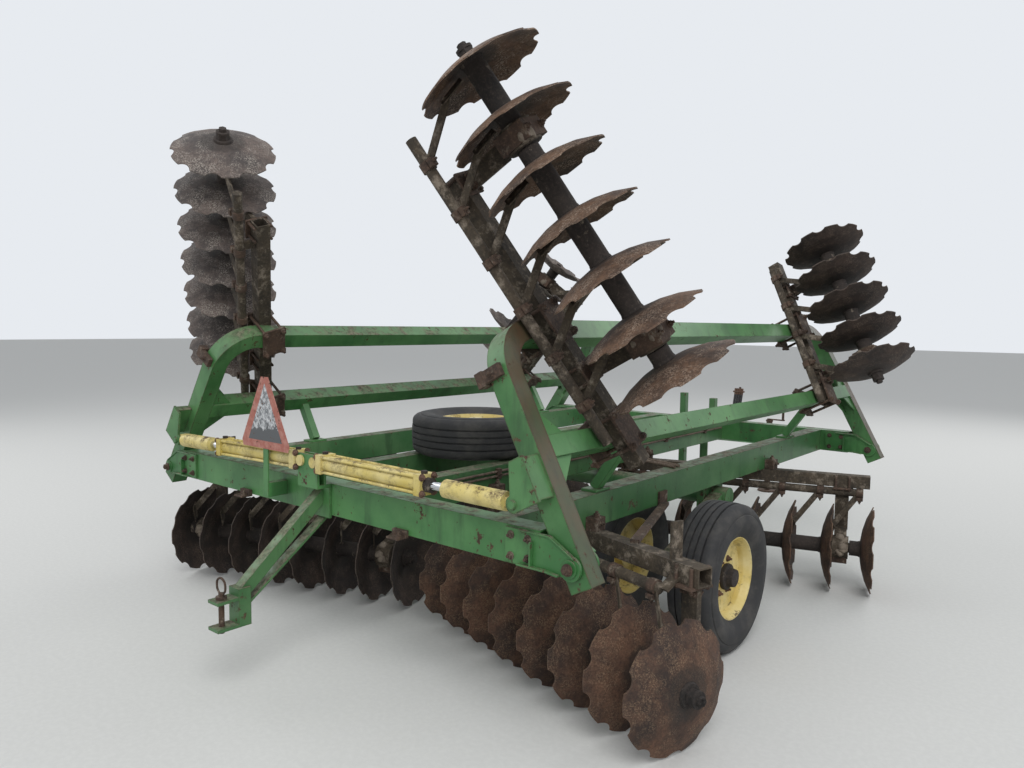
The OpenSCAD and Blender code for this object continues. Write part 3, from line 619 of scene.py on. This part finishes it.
class Pieces:
    """Gathers small shapes in one mesh, so that like pieces on one body are one object."""

    def __init__(self):
        self.bm = bmesh.new()

    def add(self, verts, matrix):
        bmesh.ops.transform(self.bm, matrix=matrix, verts=verts)

    def block(self, centre, size, matrix):
        made = bmesh.ops.create_cube(self.bm, size=1)["verts"]
        bmesh.ops.scale(self.bm, vec=size, verts=made)
        edges = list(dict.fromkeys(e for v in made for e in v.link_edges))
        done = bmesh.ops.bevel(self.bm, geom=edges, offset=EDGE_BREAK, segments=1, affect="EDGES")
        made = list(dict.fromkeys(v for f in done["faces"] for v in f.verts))
        self.add(made, matrix @ Matrix.Translation(centre))

    def bar(self, start, end, width, height, matrix):
        """A straight flat bar from start to end."""
        run = Vector(end) - Vector(start)
        turn = run.to_track_quat("X", "Z").to_matrix().to_4x4()
        middle = Matrix.Translation((Vector(start) + Vector(end)) / 2) @ turn
        self.block((0, 0, 0), (run.length, width, height), matrix @ middle)

    def rod(self, start, end, radius, sides, matrix, tip=None):
        """A round bar, or a cone if it has another radius at its tip."""
        run = Vector(end) - Vector(start)
        turn = run.to_track_quat("Z", "X").to_matrix().to_4x4()
        far = radius if tip is None else tip
        made = bmesh.ops.create_cone(
            self.bm, cap_ends=True, segments=sides, radius1=radius, radius2=far, depth=run.length
        )["verts"]
        middle = (Vector(start) + Vector(end)) / 2
        self.add(made, matrix @ Matrix.Translation(middle) @ turn)

    def bolt(self, at, out, across, matrix=Matrix.Identity(4), stub=0.010):
        """A hexagon head with a washer and the end of its thread, standing on a face."""
        at = Vector(at)
        out = Vector(out).normalized()
        head = across * HEX_HEIGHT
        self.rod(at - out * 0.001, at + out * WASHER_T, across * WASHER_R, 20, matrix)
        self.rod(at, at + out * head, across * HEX_LOW, 6, matrix, across * HEX_HIGH)
        self.rod(at, at + out * (head + stub), across * THREAD_R, 12, matrix)

    def tube(self, points, radius, sides, rounds, matrix):
        """A smooth tube through the points."""
        path = smooth_path([matrix @ Vector(p) for p in points], rounds)
        rings = []
        normal = (path[1] - path[0]).orthogonal().normalized()
        for i, p in enumerate(path):
            ahead = path[min(i + 1, len(path) - 1)] - path[max(i - 1, 0)]
            ahead.normalize()
            normal = (normal - ahead * normal.dot(ahead)).normalized()
            other = ahead.cross(normal)
            ring = []
            for k in range(sides):
                a = 2 * math.pi * k / sides
                ring.append(self.bm.verts.new(p + (normal * math.cos(a) + other * math.sin(a)) * radius))
            rings.append(ring)
        for a, b in zip(rings, rings[1:]):
            for k in range(sides):
                self.bm.faces.new((a[k], a[(k + 1) % sides], b[(k + 1) % sides], b[k]))
        self.bm.faces.new(rings[0][::-1])
        self.bm.faces.new(rings[-1])

    def turned(self, profile, matrix, sides):
        """A closed profile of (radius, height) turned about the matrix's Z axis."""
        rings = []
        for k in range(sides):
            a = 2 * math.pi * k / sides
            places = [Vector((r * math.cos(a), r * math.sin(a), h)) for r, h in profile]
            rings.append([self.bm.verts.new(matrix @ p) for p in places])
        count = len(profile)
        for k in range(sides):
            a = rings[k]
            b = rings[(k + 1) % sides]
            for i in range(count):
                j = (i + 1) % count
                self.bm.faces.new((a[i], b[i], b[j], a[j]))

    def plate(self, corners, low, high, matrix):
        """A flat plate with the given corners, from low to high along Z."""
        under = [self.bm.verts.new(matrix @ Vector((x, y, low))) for x, y in corners]
        over = [self.bm.verts.new(matrix @ Vector((x, y, high))) for x, y in corners]
        self.bm.faces.new(under[::-1])
        self.bm.faces.new(over)
        for k in range(len(corners)):
            j = (k + 1) % len(corners)
            self.bm.faces.new((under[k], under[j], over[j], over[k]))

    def lump(self, centre, size, seed, matrix):
        """A lump of dried soil, a ball whose surface swells in a few random waves."""
        rng = random.Random(seed)
        made = bmesh.ops.create_icosphere(self.bm, subdivisions=3, radius=1)["verts"]
        waves = []
        for _ in range(LUMP_WAVES):
            wave = Vector([rng.uniform(-4, 4) for _ in range(3)])
            waves.append((wave, rng.uniform(0, 6)))
        for v in made:
            swell = sum(math.sin(v.co.dot(w) + phase) for w, phase in waves) / len(waves)
            v.co = v.co * (1 + LUMP_ROUGHNESS * swell)
        bmesh.ops.scale(self.bm, vec=size, verts=made)
        self.add(made, matrix @ Matrix.Translation(centre))

    def done(self, name, body, finish, slot, smooth=35):
        """Makes the object, which rides on the body."""
        bmesh.ops.recalc_face_normals(self.bm, faces=self.bm.faces)
        mesh = bpy.data.meshes.new(name)
        self.bm.to_mesh(mesh)
        self.bm.free()
        mesh.materials.append(finish)
        obj = bpy.data.objects.new(name, mesh)
        bpy.context.scene.collection.objects.link(obj)
        smooth_by_angle(obj, smooth)
        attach(obj, body)
        return obj


def smooth_path(points, rounds):
    """Points on a smooth curve through the given ones."""
    path = []
    padded = [points[0] * 2 - points[1], *points, points[-1] * 2 - points[-2]]
    for i in range(1, len(padded) - 2):
        a, b, c, d = padded[i - 1:i + 3]
        for k in range(rounds):
            t = k / rounds
            path.append(0.5 * (2 * b + (c - a) * t + (2 * a - 5 * b + 4 * c - d) * t * t
                               + (3 * b - a - 3 * c + d) * t ** 3))
    path.append(points[-1])
    return path


def wing_matrix(side):
    """Turns places on a level wing (out from the pin, along it, up) into the object's frame."""
    fold = Matrix.Rotation(-FOLD[side], 4, "Y")
    placed = Matrix.Translation(machine(HINGE_X, 0, HINGE_Z)) @ fold
    return Matrix.Scale(side, 4, (1, 0, 0)) @ placed


def centre_matrix(side):
    """Turns places on the right half of the frame into the object's frame, mirrored for the left."""
    return Matrix.Scale(side, 4, (1, 0, 0)) @ Matrix.Translation(machine(0, 0, 0))


def gang_matrix(base, row, z):
    """Along a gang's shaft from its first disc."""
    return base @ Matrix.Translation((row.x, row.y, z)) @ Matrix.Rotation(math.radians(row.turn), 4, "Z")


def along_beam(row, x):
    """How far along a gang its beam passes under a tube that stands x out."""
    turn = math.radians(row.turn)
    return (x - row.x + row.beam_off * math.sin(turn)) / math.cos(turn)


def all_gangs():
    """Each gang: name, bodies of its discs and its beam, the shaft's frame, row, the beam's underside."""
    for side, word in SIDES.items():
        for key, row in GANGS.items():
            drop = FRAME_BOT - SEAT - GANG_BEAM - GANG_Z
            matrix = gang_matrix(centre_matrix(side), row, GANG_Z)
            yield f"{key}_gang_{word}", f"{key}_discs_{word}", "chassis", matrix, row, drop
        for key, row in WING_GANGS.items():
            drop = WING_DROP - WING_TUBE / 2 - SEAT - GANG_BEAM
            matrix = gang_matrix(wing_matrix(side), row, -WING_DROP)
            name = f"wing_{key}_gang_{word}"
            yield name, f"wing_{key}_discs_{word}", f"wing_{word}", matrix, row, drop


def tyres():
    """Ribbed tyres in place of the plain ones."""
    half = TYRE_W / 2
    sides = 96
    smooth = 40
    profile = [(RIM_R + past, half - inward) for past, inward in TYRE_SIDE]
    profile += [(TYRE_R - depth, half - inward) for depth, inward in TYRE_SHOULDER]
    profile += [(TYRE_R - depth, place) for depth, place in TYRE_RIBS]
    profile += [(r, -h) for r, h in reversed(profile)]
    turn = Matrix.Rotation(math.radians(90), 4, "Y")
    for side, word in SIDES.items():
        tyre = Pieces()
        for shift in (-TWIN_HALF, TWIN_HALF):
            place = Matrix.Translation(machine(side * (WHEEL_X + shift), AXLE_Y, TYRE_R))
            tyre.turned(profile, place @ turn, sides)
        obj = tyre.done(f"ribbed_tyres_{word}", f"wheels_{word}", RUBBER, "tyre_rubber", smooth)
        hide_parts(f"wheel_tyres_{word}")
    spare = Pieces()
    place = Matrix.Translation(machine(SPARE[0], SPARE[1], FRAME_TOP + SEAT + TYRE_W / 2))
    spare.turned(profile, place, sides)
    obj = spare.done("ribbed_spare_tyre", "chassis", RUBBER, "tyre_rubber", smooth)
    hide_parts("spare_tyre")


def hubs():
    """Wheel nuts in a circle, and hub caps."""
    nut_count = 6
    nut_circle = 0.092
    nut_out = 0.020
    for side, word in SIDES.items():
        nuts = Pieces()
        caps = Pieces()
        for shift in (-TWIN_HALF, TWIN_HALF):
            out = side if shift > 0 else -side
            middle = machine(side * (WHEEL_X + shift), AXLE_Y, TYRE_R)
            for k in range(nut_count):
                a = 2 * math.pi * k / nut_count
                place = (out * nut_out, nut_circle * math.cos(a), nut_circle * math.sin(a))
                nuts.bolt(middle + Vector(place), (out, 0, 0), 0.022)
            turn = Vector((out, 0, 0)).to_track_quat("Z", "Y").to_matrix().to_4x4()
            caps.turned(HUB_CAP, Matrix.Translation(middle) @ turn, 40)
        nuts.done(f"wheel_nuts_{word}", f"wheels_{word}", BOLT, "rusty_steel")
        caps.done(f"hub_caps_{word}", f"wheels_{word}", SHAFT, "rusty_steel")


def hinges():
    """Ribs, bolts and pin heads on the hinge plates."""
    ribs = Pieces()
    bolts = Pieces()
    lip = 0.010
    low_lip = 0.0025
    rib_t = 0.007
    inset = 0.012
    post_x = 1.300
    post_t = 0.008
    boss_r = 0.034
    # Each plate's outer face, the way it looks, and half the height of its top rib
    faces = (
        (-HINGE_PLATE_T, -1, low_lip),
        (TUBE_W + HINGE_PLATE_T, 1, lip),
        (FRAME_LEN - HINGE_PLATE_T, -1, lip),
        (FRONT_FACE + HINGE_PLATE_T, 1, lip),
    )
    # Where the ribs bend: how far out, and height
    top = [(1.235, FRAME_TOP - inset), (1.378, FRAME_TOP - inset), (1.489, HINGE_Z + 0.038)]
    bottom = [(1.235, FRAME_BOT + inset), (1.370, FRAME_BOT + inset), (1.430, FRAME_BOT + 0.006)]
    # How far out two bolts stand, and how far in from the beam's top and bottom
    bolt_rows = ((1.195, 0.035), (1.278, 0.038))
    for side in SIDES:
        base = centre_matrix(side)
        for y, out, top_lip in faces:
            for line, high in ((top, top_lip), (bottom, lip)):
                rib_y = y + out * high
                for a, b in zip(line, line[1:]):
                    ribs.bar((a[0], rib_y, a[1]), (b[0], rib_y, b[1]), 2 * high, rib_t, base)
            post_h = TUBE_H - 0.054
            ribs.block((post_x, y + out * lip, HINGE_Z + 0.022), (post_t, 2 * lip, post_h), base)
            for x, bolt_in in bolt_rows:
                for z in (FRAME_TOP - bolt_in, FRAME_BOT + bolt_in):
                    bolts.bolt((x, y, z), (0, out, 0), 0.021, base)
            bolts.bolt((HINGE_X, y + out * 0.014, HINGE_Z), (0, out, 0), 0.030, base, 0.004)
            boss = (HINGE_X, y - out * 0.001, HINGE_Z)
            ribs.rod(boss, (HINGE_X, y + out * 0.006, HINGE_Z), boss_r, 28, base)
    ribs.done("hinge_plate_ribs", "chassis", GREEN, "green_paint")
    bolts.done("hinge_plate_bolts", "chassis", RUST, "rusty_steel")


def bearing(metal, soil, m, at, row, drop, square):
    """A bearing's cap or square block, its hanger's bolts and the soil that sticks to it."""
    hanger_y = row.beam_off
    near_beam = GANG_BEAM / 2 + 0.009
    if square:
        wall = 0.026
        far = 0.060
        wide = 0.148
        for y, z in ((0, far), (0, -far)):
            metal.block((at, y, z), (0.078, wide, wall), m)
        for y in (far, -far):
            metal.block((at, y, 0), (0.078, wall, 0.100), m)
        for y in (-far, far):
            metal.bolt((at, y, -far - wall / 2), (0, 0, -1), 0.022, m)
    else:
        metal.block((at, 0, -0.072), (0.086, 0.070, 0.046), m)
    for dx in (-0.026, 0.026):
        for out in (-1, 1):
            metal.bolt((at + dx, hanger_y + out * 0.012, drop - 0.034), (0, out, 0), 0.020, m)
            x = at + dx * 1.5
            y = hanger_y + out * near_beam
            metal.rod((x, y, drop - 0.022), (x, y, drop + GANG_BEAM - 0.003), 0.008, 10, m)
    metal.block((at, hanger_y, drop - 0.0065), (0.106, 0.124, 0.012), m)
    lumps = 6
    lump_far = 0.066
    rng = random.Random(row.count + int(at * 1000))
    for k in range(lumps):
        a = rng.uniform(0, 2 * math.pi)
        place = (at + rng.uniform(-0.022, 0.022), lump_far * math.cos(a), lump_far * math.sin(a))
        soil.lump(place, (0.026, 0.024, 0.022), k + row.count, m)


def clamp(metal, m, at, row, drop):
    """A plate under a wing's gang beam, four long bolts and a plate over the tube that it crosses."""
    along = 0.074
    across = 0.052
    plate_t = 0.012
    bolt_r = 0.0085
    seat = plate_t / 2 + 0.0005
    top = drop + GANG_BEAM + WING_TUBE
    size = (2 * along + 0.036, 2 * across + 0.032, plate_t)
    metal.block((at, row.beam_off, drop - seat), size, m)
    metal.block((at, row.beam_off, top + seat), size, m)
    for dx in (-along, along):
        for dy in (-across, across):
            x = at + dx
            y = row.beam_off + dy
            metal.rod((x, y, drop - 0.024), (x, y, top + 0.040), bolt_r, 10, m)
            metal.bolt((x, y, top + 0.0125), (0, 0, 1), 0.026, m, 0.012)
            metal.bolt((x, y, drop - 0.0125), (0, 0, -1), 0.026, m, 0.004)


def rail_brackets(metal, row):
    """Angle blocks that hold a centre gang's beam to the rails it passes under."""
    long = 0.058
    high = 0.060
    turn = math.radians(row.turn)
    for x_out in (INNER_OUT, RAIL_OUT):
        x = x_out + long / 2 - 0.0005
        y = row.y + along_beam(row, x) * math.sin(turn) + row.beam_off * math.cos(turn)
        for side in SIDES:
            base = centre_matrix(side)
            metal.block((x, y, FRAME_BOT + high / 2), (long, 0.076, high), base)
            metal.bolt((x + 0.006, y, FRAME_BOT + high), (0, 0, 1), 0.026, base)
            metal.bolt((x_out + long - 0.001, y, FRAME_BOT + 0.036), (1, 0, 0), 0.022, base)


def scraper_clips(metal, m, row, drop):
    """A clip with its bolt where each scraper's arm is held on the pipe."""
    arm_from_disc = 0.215
    clip_half = 0.020
    y = row.pipe_off
    z = drop + row.pipe_rise
    for i in range(row.count - 1):
        at = i * PITCH + (0 if row.dish > 0 else PITCH) + row.dish * arm_from_disc
        metal.rod((at - clip_half, y, z), (at + clip_half, y, z), 0.031, 20, m)
        metal.block((at, y - 0.012, z - 0.036), (0.038, 0.040, 0.020), m)
        metal.bolt((at, y - 0.014, z - 0.045), (0, 0, -1), 0.018, m)


def washers(ends, m, row):
    """The shaft's end nuts, and a washer on each side of each disc."""
    length = (row.count - 1) * PITCH
    nut_t = 0.012
    nut_past = 0.030
    washer_t = 0.012
    for at, out in ((-0.046, -1), (length + 0.040, 1)):
        ends.rod((at, 0, 0), (at + out * nut_t, 0, 0), 0.034, 24, m)
        ends.rod((at + out * nut_t, 0, 0), (at + out * nut_past, 0, 0), 0.020, 6, m)
    for i in range(row.count):
        for out in (-1, 1):
            skin = 0.0065 if out == row.dish else 0.0005
            edge = i * PITCH + out * skin
            ends.rod((edge, 0, 0), (edge + out * washer_t, 0, 0), 0.050, 28, m, 0.047)


def gang_details():
    """Clips, bearings, clamps and soil on the gang beams. Finish and washers of the discs."""
    shaft_r = 0.0505
    for name, spin_body, beam_body, m, row, drop in all_gangs():
        on_wing = name.startswith("wing")
        metal = Pieces()
        soil = Pieces()
        scraper_clips(metal, m, row, drop)
        for gap in (0.5, row.count - 0.5 - row.last):
            bearing(metal, soil, m, gap * PITCH, row, drop, on_wing)
        if on_wing:
            for s in (WING_MID, WING_REACH):
                clamp(metal, m, along_beam(row, s), row, drop)
        metal.done(f"{name}_clamps", beam_body, RUST, "rusty_steel")
        soil.done(f"{name}_soil", beam_body, CLAY, "rusty_steel")
        ends = Pieces()
        washers(ends, m, row)
        ends.done(f"{name}_washers", spin_body, SHAFT, "disc_steel")
        inverse = m.inverted()

        def near_shaft(centre, inverse=inverse):
            p = inverse @ centre
            return math.hypot(p.y, p.z) < shaft_r

        discs = nodes[name].data
        discs.materials.clear()
        discs.materials.append(disc_finish(f"{name}_rust", DISC_LOOKS[name], m))
        part_finish(name, SHAFT, near_shaft)
    brackets = Pieces()
    for row in GANGS.values():
        rail_brackets(brackets, row)
    brackets.done("rail_brackets", "chassis", RUST, "rusty_steel")


def wing_details():
    """Corner plates between the arms and the middle tube, lugs on the arms, rust on their outer faces."""
    reach = 0.120
    bite = 0.001
    plate_t = 0.008
    plate_lows = (-0.038, 0.030)
    lug_s = 0.790
    strap_t = 0.024
    strap_z = 0.020
    head_z = 0.082
    face_depth = WING_TUBE / 2 - 0.003
    for side, word in SIDES.items():
        m = wing_matrix(side)
        gussets = Pieces()
        lugs = Pieces()
        for arm_y, way in ((TUBE_W / 2, 1), (FRAME_LEN + TUBE_W / 2, -1)):
            y = arm_y + way * (ARM_W / 2 - bite)
            for s, out in ((WING_MID - ARM_W / 2 + bite, -1), (WING_MID + ARM_W / 2 - bite, 1)):
                corners = [(s, y), (s + out * reach, y), (s, y + way * reach)]
                for z in plate_lows:
                    gussets.plate(corners, z, z + plate_t, m)
            face_y = arm_y - way * (ARM_W / 2 + 0.010)
            lugs.block((lug_s, face_y, side * strap_z), (0.052, strap_t, 0.100), m)
            lugs.block((lug_s, face_y + way * 0.012, side * head_z), (0.064, 0.048, 0.040), m)
            lugs.bolt((lug_s, face_y - way * strap_t / 2, side * strap_z), (0, -way, 0), 0.022, m)
        inverse = m.inverted()

        def outer_face(centre, inverse=inverse):
            return (inverse @ centre).z < -face_depth

        for arm in ("rear", "front"):
            part_finish(f"wing_{arm}_arm_{word}", GREEN_RUSTED, outer_face)
        gussets.done(f"wing_gussets_{word}", f"wing_{word}", GREEN, "green_paint")
        lugs.done(f"wing_lugs_{word}", f"wing_{word}", RUST, "rusty_steel")


def drawpin(base):
    """The rear hitch's pin with its collar and loop."""
    metal = Pieces()
    metal.rod((0, DRAWPIN_Y, 0.284), (0, DRAWPIN_Y, 0.462), 0.0125, 16, base)
    metal.rod((0, DRAWPIN_Y, 0.4342), (0, DRAWPIN_Y, 0.447), 0.024, 20, base)
    metal.tube([(x, DRAWPIN_Y, z) for x, z in PIN_LOOP], 0.005, 8, 5, base)
    metal.done("drawpin", "chassis", RUST, "rusty_steel")


def rear_tabs(base):
    """Small bolted tabs under the rear beam."""
    tabs = Pieces()
    for x in (-0.643, 0.568):
        tabs.block((x, -0.010, FRAME_BOT + 0.006), (0.086, 0.021, 0.034), base)
        tabs.block((x, -0.030, FRAME_BOT - 0.008), (0.074, 0.060, 0.010), base)
        tabs.bolt((x + 0.020, -0.036, FRAME_BOT - 0.003), (0, 0, 1), 0.022, base)
    tabs.done("rear_beam_tabs", "chassis", RUST, "rusty_steel")


def jack_crank(base):
    """A disc on the jack's top, the crank's arm and its handle."""
    arm_z = 0.722
    handle_x = JACK_X + 0.135
    crank = Pieces()
    crank.rod((JACK_X, JACK_Y, 0.6995), (JACK_X, JACK_Y, 0.716), 0.034, 24, base)
    crank.bar((JACK_X - 0.020, JACK_Y, arm_z), (JACK_X + 0.150, JACK_Y, arm_z), 0.026, 0.012, base)
    crank.rod((handle_x, JACK_Y, arm_z), (handle_x, JACK_Y, 0.812), 0.012, 14, base)
    crank.done("jack_crank", "jack", RUST, "rusty_steel")


def steel_lines(base):
    """Two lines clipped along the right inner rail, and two pipes that lie across the rails."""
    line_x = INNER_OUT + 0.010
    back = TUBE_W + 0.030
    front = FRAME_LEN - 0.040
    clip_z = 0.830
    clip_count = 6
    clip_every = 0.620
    pipe_gap = 0.045
    pipe_r = 0.0095
    pipe_z = FRAME_TOP + 0.009
    pipes = Pieces()
    clips = Pieces()
    for z in (clip_z + 0.012, clip_z - 0.012):
        pipes.rod((line_x, back, z), (line_x, front, z), 0.007, 10, base)
    for k in range(clip_count):
        y = back + 0.150 + k * clip_every
        clips.block((line_x + 0.001, y, clip_z), (0.022, 0.030, 0.058), base)
        clips.bolt((line_x + 0.011, y, clip_z), (1, 0, 0), 0.014, base)
    for shift in (0, pipe_gap):
        start = (INNER_OUT - 0.050, 1.700 + shift, pipe_z)
        pipes.rod(start, (RAIL_OUT - 0.040, 1.500 + shift, pipe_z), pipe_r, 12, base)
    pipes.done("steel_lines", "chassis", PIPE, "rusty_steel")
    clips.done("line_clips", "chassis", RUST, "rusty_steel")


def tongue_hoses(base):
    """Four hoses held on the tongue and on their stand, with couplers at their ends."""
    count = 4
    first_x = -0.033
    pitch = 0.022
    hose_r = 0.010
    strap_ahead = 0.300
    strap_half = 0.052

    def tongue_top(ahead):
        return 0.801 - 0.1490 * (ahead - 0.060)

    # The hoses' way: how far ahead of the front beam, and height
    route = (
        (-0.080, FRAME_TOP + hose_r),
        (-0.010, FRAME_TOP + 0.011),
        (0.070, 0.835),
        (0.200, tongue_top(0.200) + 0.012),
        (0.500, tongue_top(0.500) + 0.012),
        (0.800, tongue_top(0.800) + 0.020),
        (0.915, 0.800),
        (0.955, 0.930),
        (0.975, 1.000),
    )
    hoses = Pieces()
    couplers = Pieces()
    for k in range(count):
        x = first_x + pitch * k
        hoses.tube([(x, FRONT_FACE + ahead, z) for ahead, z in route], hose_r, 10, 6, base)
        start = (x, FRONT_FACE + 0.973, 0.995)
        couplers.rod(start, (x, FRONT_FACE + 0.984, 1.052), 0.0105, 12, base)
    couplers.block((0, FRONT_FACE + 0.979, 1.022), (0.104, 0.030, 0.014), base)
    strap_y = FRONT_FACE + strap_ahead
    strap_z = tongue_top(strap_ahead) + 0.012
    couplers.bar((-strap_half, strap_y, strap_z), (strap_half, strap_y, strap_z), 0.030, 0.028, base)
    hoses.done("hoses", "chassis", HOSE, "tyre_rubber")
    couplers.done("hose_couplers", "chassis", BOLT, "rusty_steel")


def cylinders():
    """Tie rod nuts, ports and pin heads of the fold cylinders, and their bright rods."""
    tie = 0.034
    port_r = 0.015
    ports = (0.054, 0.014 + BARREL_LEN)
    face = -CYL_BACK - 0.0245
    rod_r = 0.0185
    cover_len = 0.1
    heads = Pieces()
    for side, word in SIDES.items():
        angle = FOLD[side]
        lug_x = HINGE_X + LUG_S * math.cos(angle) - LUG_H * math.sin(angle)
        lug_z = HINGE_Z + LUG_S * math.sin(angle) + LUG_H * math.cos(angle)
        lean = math.atan2(lug_z - CYL_PIN_Z, lug_x - CYL_PIN_X)
        base = centre_matrix(side) @ Matrix.Translation((CYL_PIN_X, -CYL_BACK, CYL_PIN_Z))
        base = base @ Matrix.Rotation(-lean, 4, "Y")
        nuts = Pieces()
        body = Pieces()
        for y in (-tie, tie):
            for z in (-tie, tie):
                nuts.bolt((0.034 + BARREL_LEN, y, z), (1, 0, 0), 0.020, base, 0.006)
                nuts.bolt((0.034, y, z), (-1, 0, 0), 0.020, base, 0.004)
        for x in ports:
            body.rod((x, 0, 0.040), (x, 0, 0.056), port_r, 6, base)
        body.rod((BARREL_LEN + 0.034, 0, 0), (BARREL_LEN + 0.058, 0, 0), 0.031, 32, base)
        pin = (CYL_PIN_X, face, CYL_PIN_Z)
        heads.rod(pin, (CYL_PIN_X, face - 0.012, CYL_PIN_Z), 0.026, 24, centre_matrix(side))
        nuts.done(f"tie_rod_nuts_{word}", f"fold_barrel_body_{word}", BOLT, "rusty_steel")
        body.done(f"cylinder_ports_{word}", f"fold_barrel_body_{word}", SHAFT, "rusty_steel")
        bright_to = math.hypot(lug_x - CYL_PIN_X, lug_z - CYL_PIN_Z) - cover_len
        inverse = base.inverted()

        def is_rod(centre, inverse=inverse, bright_to=bright_to):
            p = inverse @ centre
            return math.hypot(p.y, p.z) < rod_r and p.x < bright_to

        part_finish(f"fold_rod_{word}", CHROME, is_rod)
    heads.done("cylinder_pin_heads", "chassis", YELLOW, "yellow_paint")


def sign_details():
    """The sign's face. Its post and the plate's back stay green."""

    def is_plate(centre):
        return centre.y < SIGN_BACK and centre.z > SIGN_Z - 0.001

    part_finish("sign", sign_finish(), is_plate)


def sky():
    """A pale surrounding that is brighter to the eye than as a light."""
    world = bpy.data.worlds.new("studio")
    bpy.context.scene.world = world
    world.use_nodes = True
    tree = world.node_tree
    tree.nodes.clear()
    path = tree.nodes.new("ShaderNodeLightPath")
    seen = tree.nodes.new("ShaderNodeMath")
    seen.operation = "MAXIMUM"
    tree.links.new(path.outputs["Is Camera Ray"], seen.inputs[0])
    tree.links.new(path.outputs["Is Glossy Ray"], seen.inputs[1])
    also = tree.nodes.new("ShaderNodeMath")
    also.operation = "MAXIMUM"
    tree.links.new(seen.outputs[0], also.inputs[0])
    tree.links.new(path.outputs["Is Transmission Ray"], also.inputs[1])
    lit = tree.nodes.new("ShaderNodeBackground")
    lit.inputs["Color"].default_value = SKY_LIGHT
    lit.inputs["Strength"].default_value = SKY_LIGHT_STRENGTH
    shown = tree.nodes.new("ShaderNodeBackground")
    shown.inputs["Color"].default_value = SKY_SEEN
    shown.inputs["Strength"].default_value = 1.0
    mix = tree.nodes.new("ShaderNodeMixShader")
    out = tree.nodes.new("ShaderNodeOutputWorld")
    tree.links.new(also.outputs[0], mix.inputs[0])
    tree.links.new(lit.outputs[0], mix.inputs[1])
    tree.links.new(shown.outputs[0], mix.inputs[2])
    tree.links.new(mix.outputs[0], out.inputs[0])


def studio():
    """A plain pale floor, a pale surrounding and soft light."""
    scene = bpy.context.scene
    scene.view_settings.view_transform = "Standard"
    sky()
    floor = bpy.data.meshes.new("floor")
    reach = 60
    corners = [(-reach, -reach, 0), (reach, -reach, 0), (reach, reach, 0), (-reach, reach, 0)]
    floor.from_pydata(corners, [], [(0, 1, 2, 3)])
    floor.materials.append(plain("pale_floor", FLOOR, 0.9, variation=0.05))
    obj = bpy.data.objects.new("floor", floor)
    scene.collection.objects.link(obj)
    for name, at, power, size in LAMPS:
        lamp = bpy.data.lights.new(name, "AREA")
        lamp.energy = power
        lamp.size = size
        light = bpy.data.objects.new(name, lamp)
        scene.collection.objects.link(light)
        light.location = at
        light.rotation_mode = "QUATERNION"
        light.rotation_quaternion = (Vector(LAMPS_AIM) - Vector(at)).to_track_quat("-Z", "Y")


camera()
studio()
dress_nodes()
tyres()
hubs()
hinges()
gang_details()
wing_details()
centre = centre_matrix(1)
drawpin(centre)
rear_tabs(centre)
jack_crank(centre)
steel_lines(centre)
tongue_hoses(centre)
cylinders()
sign_details()
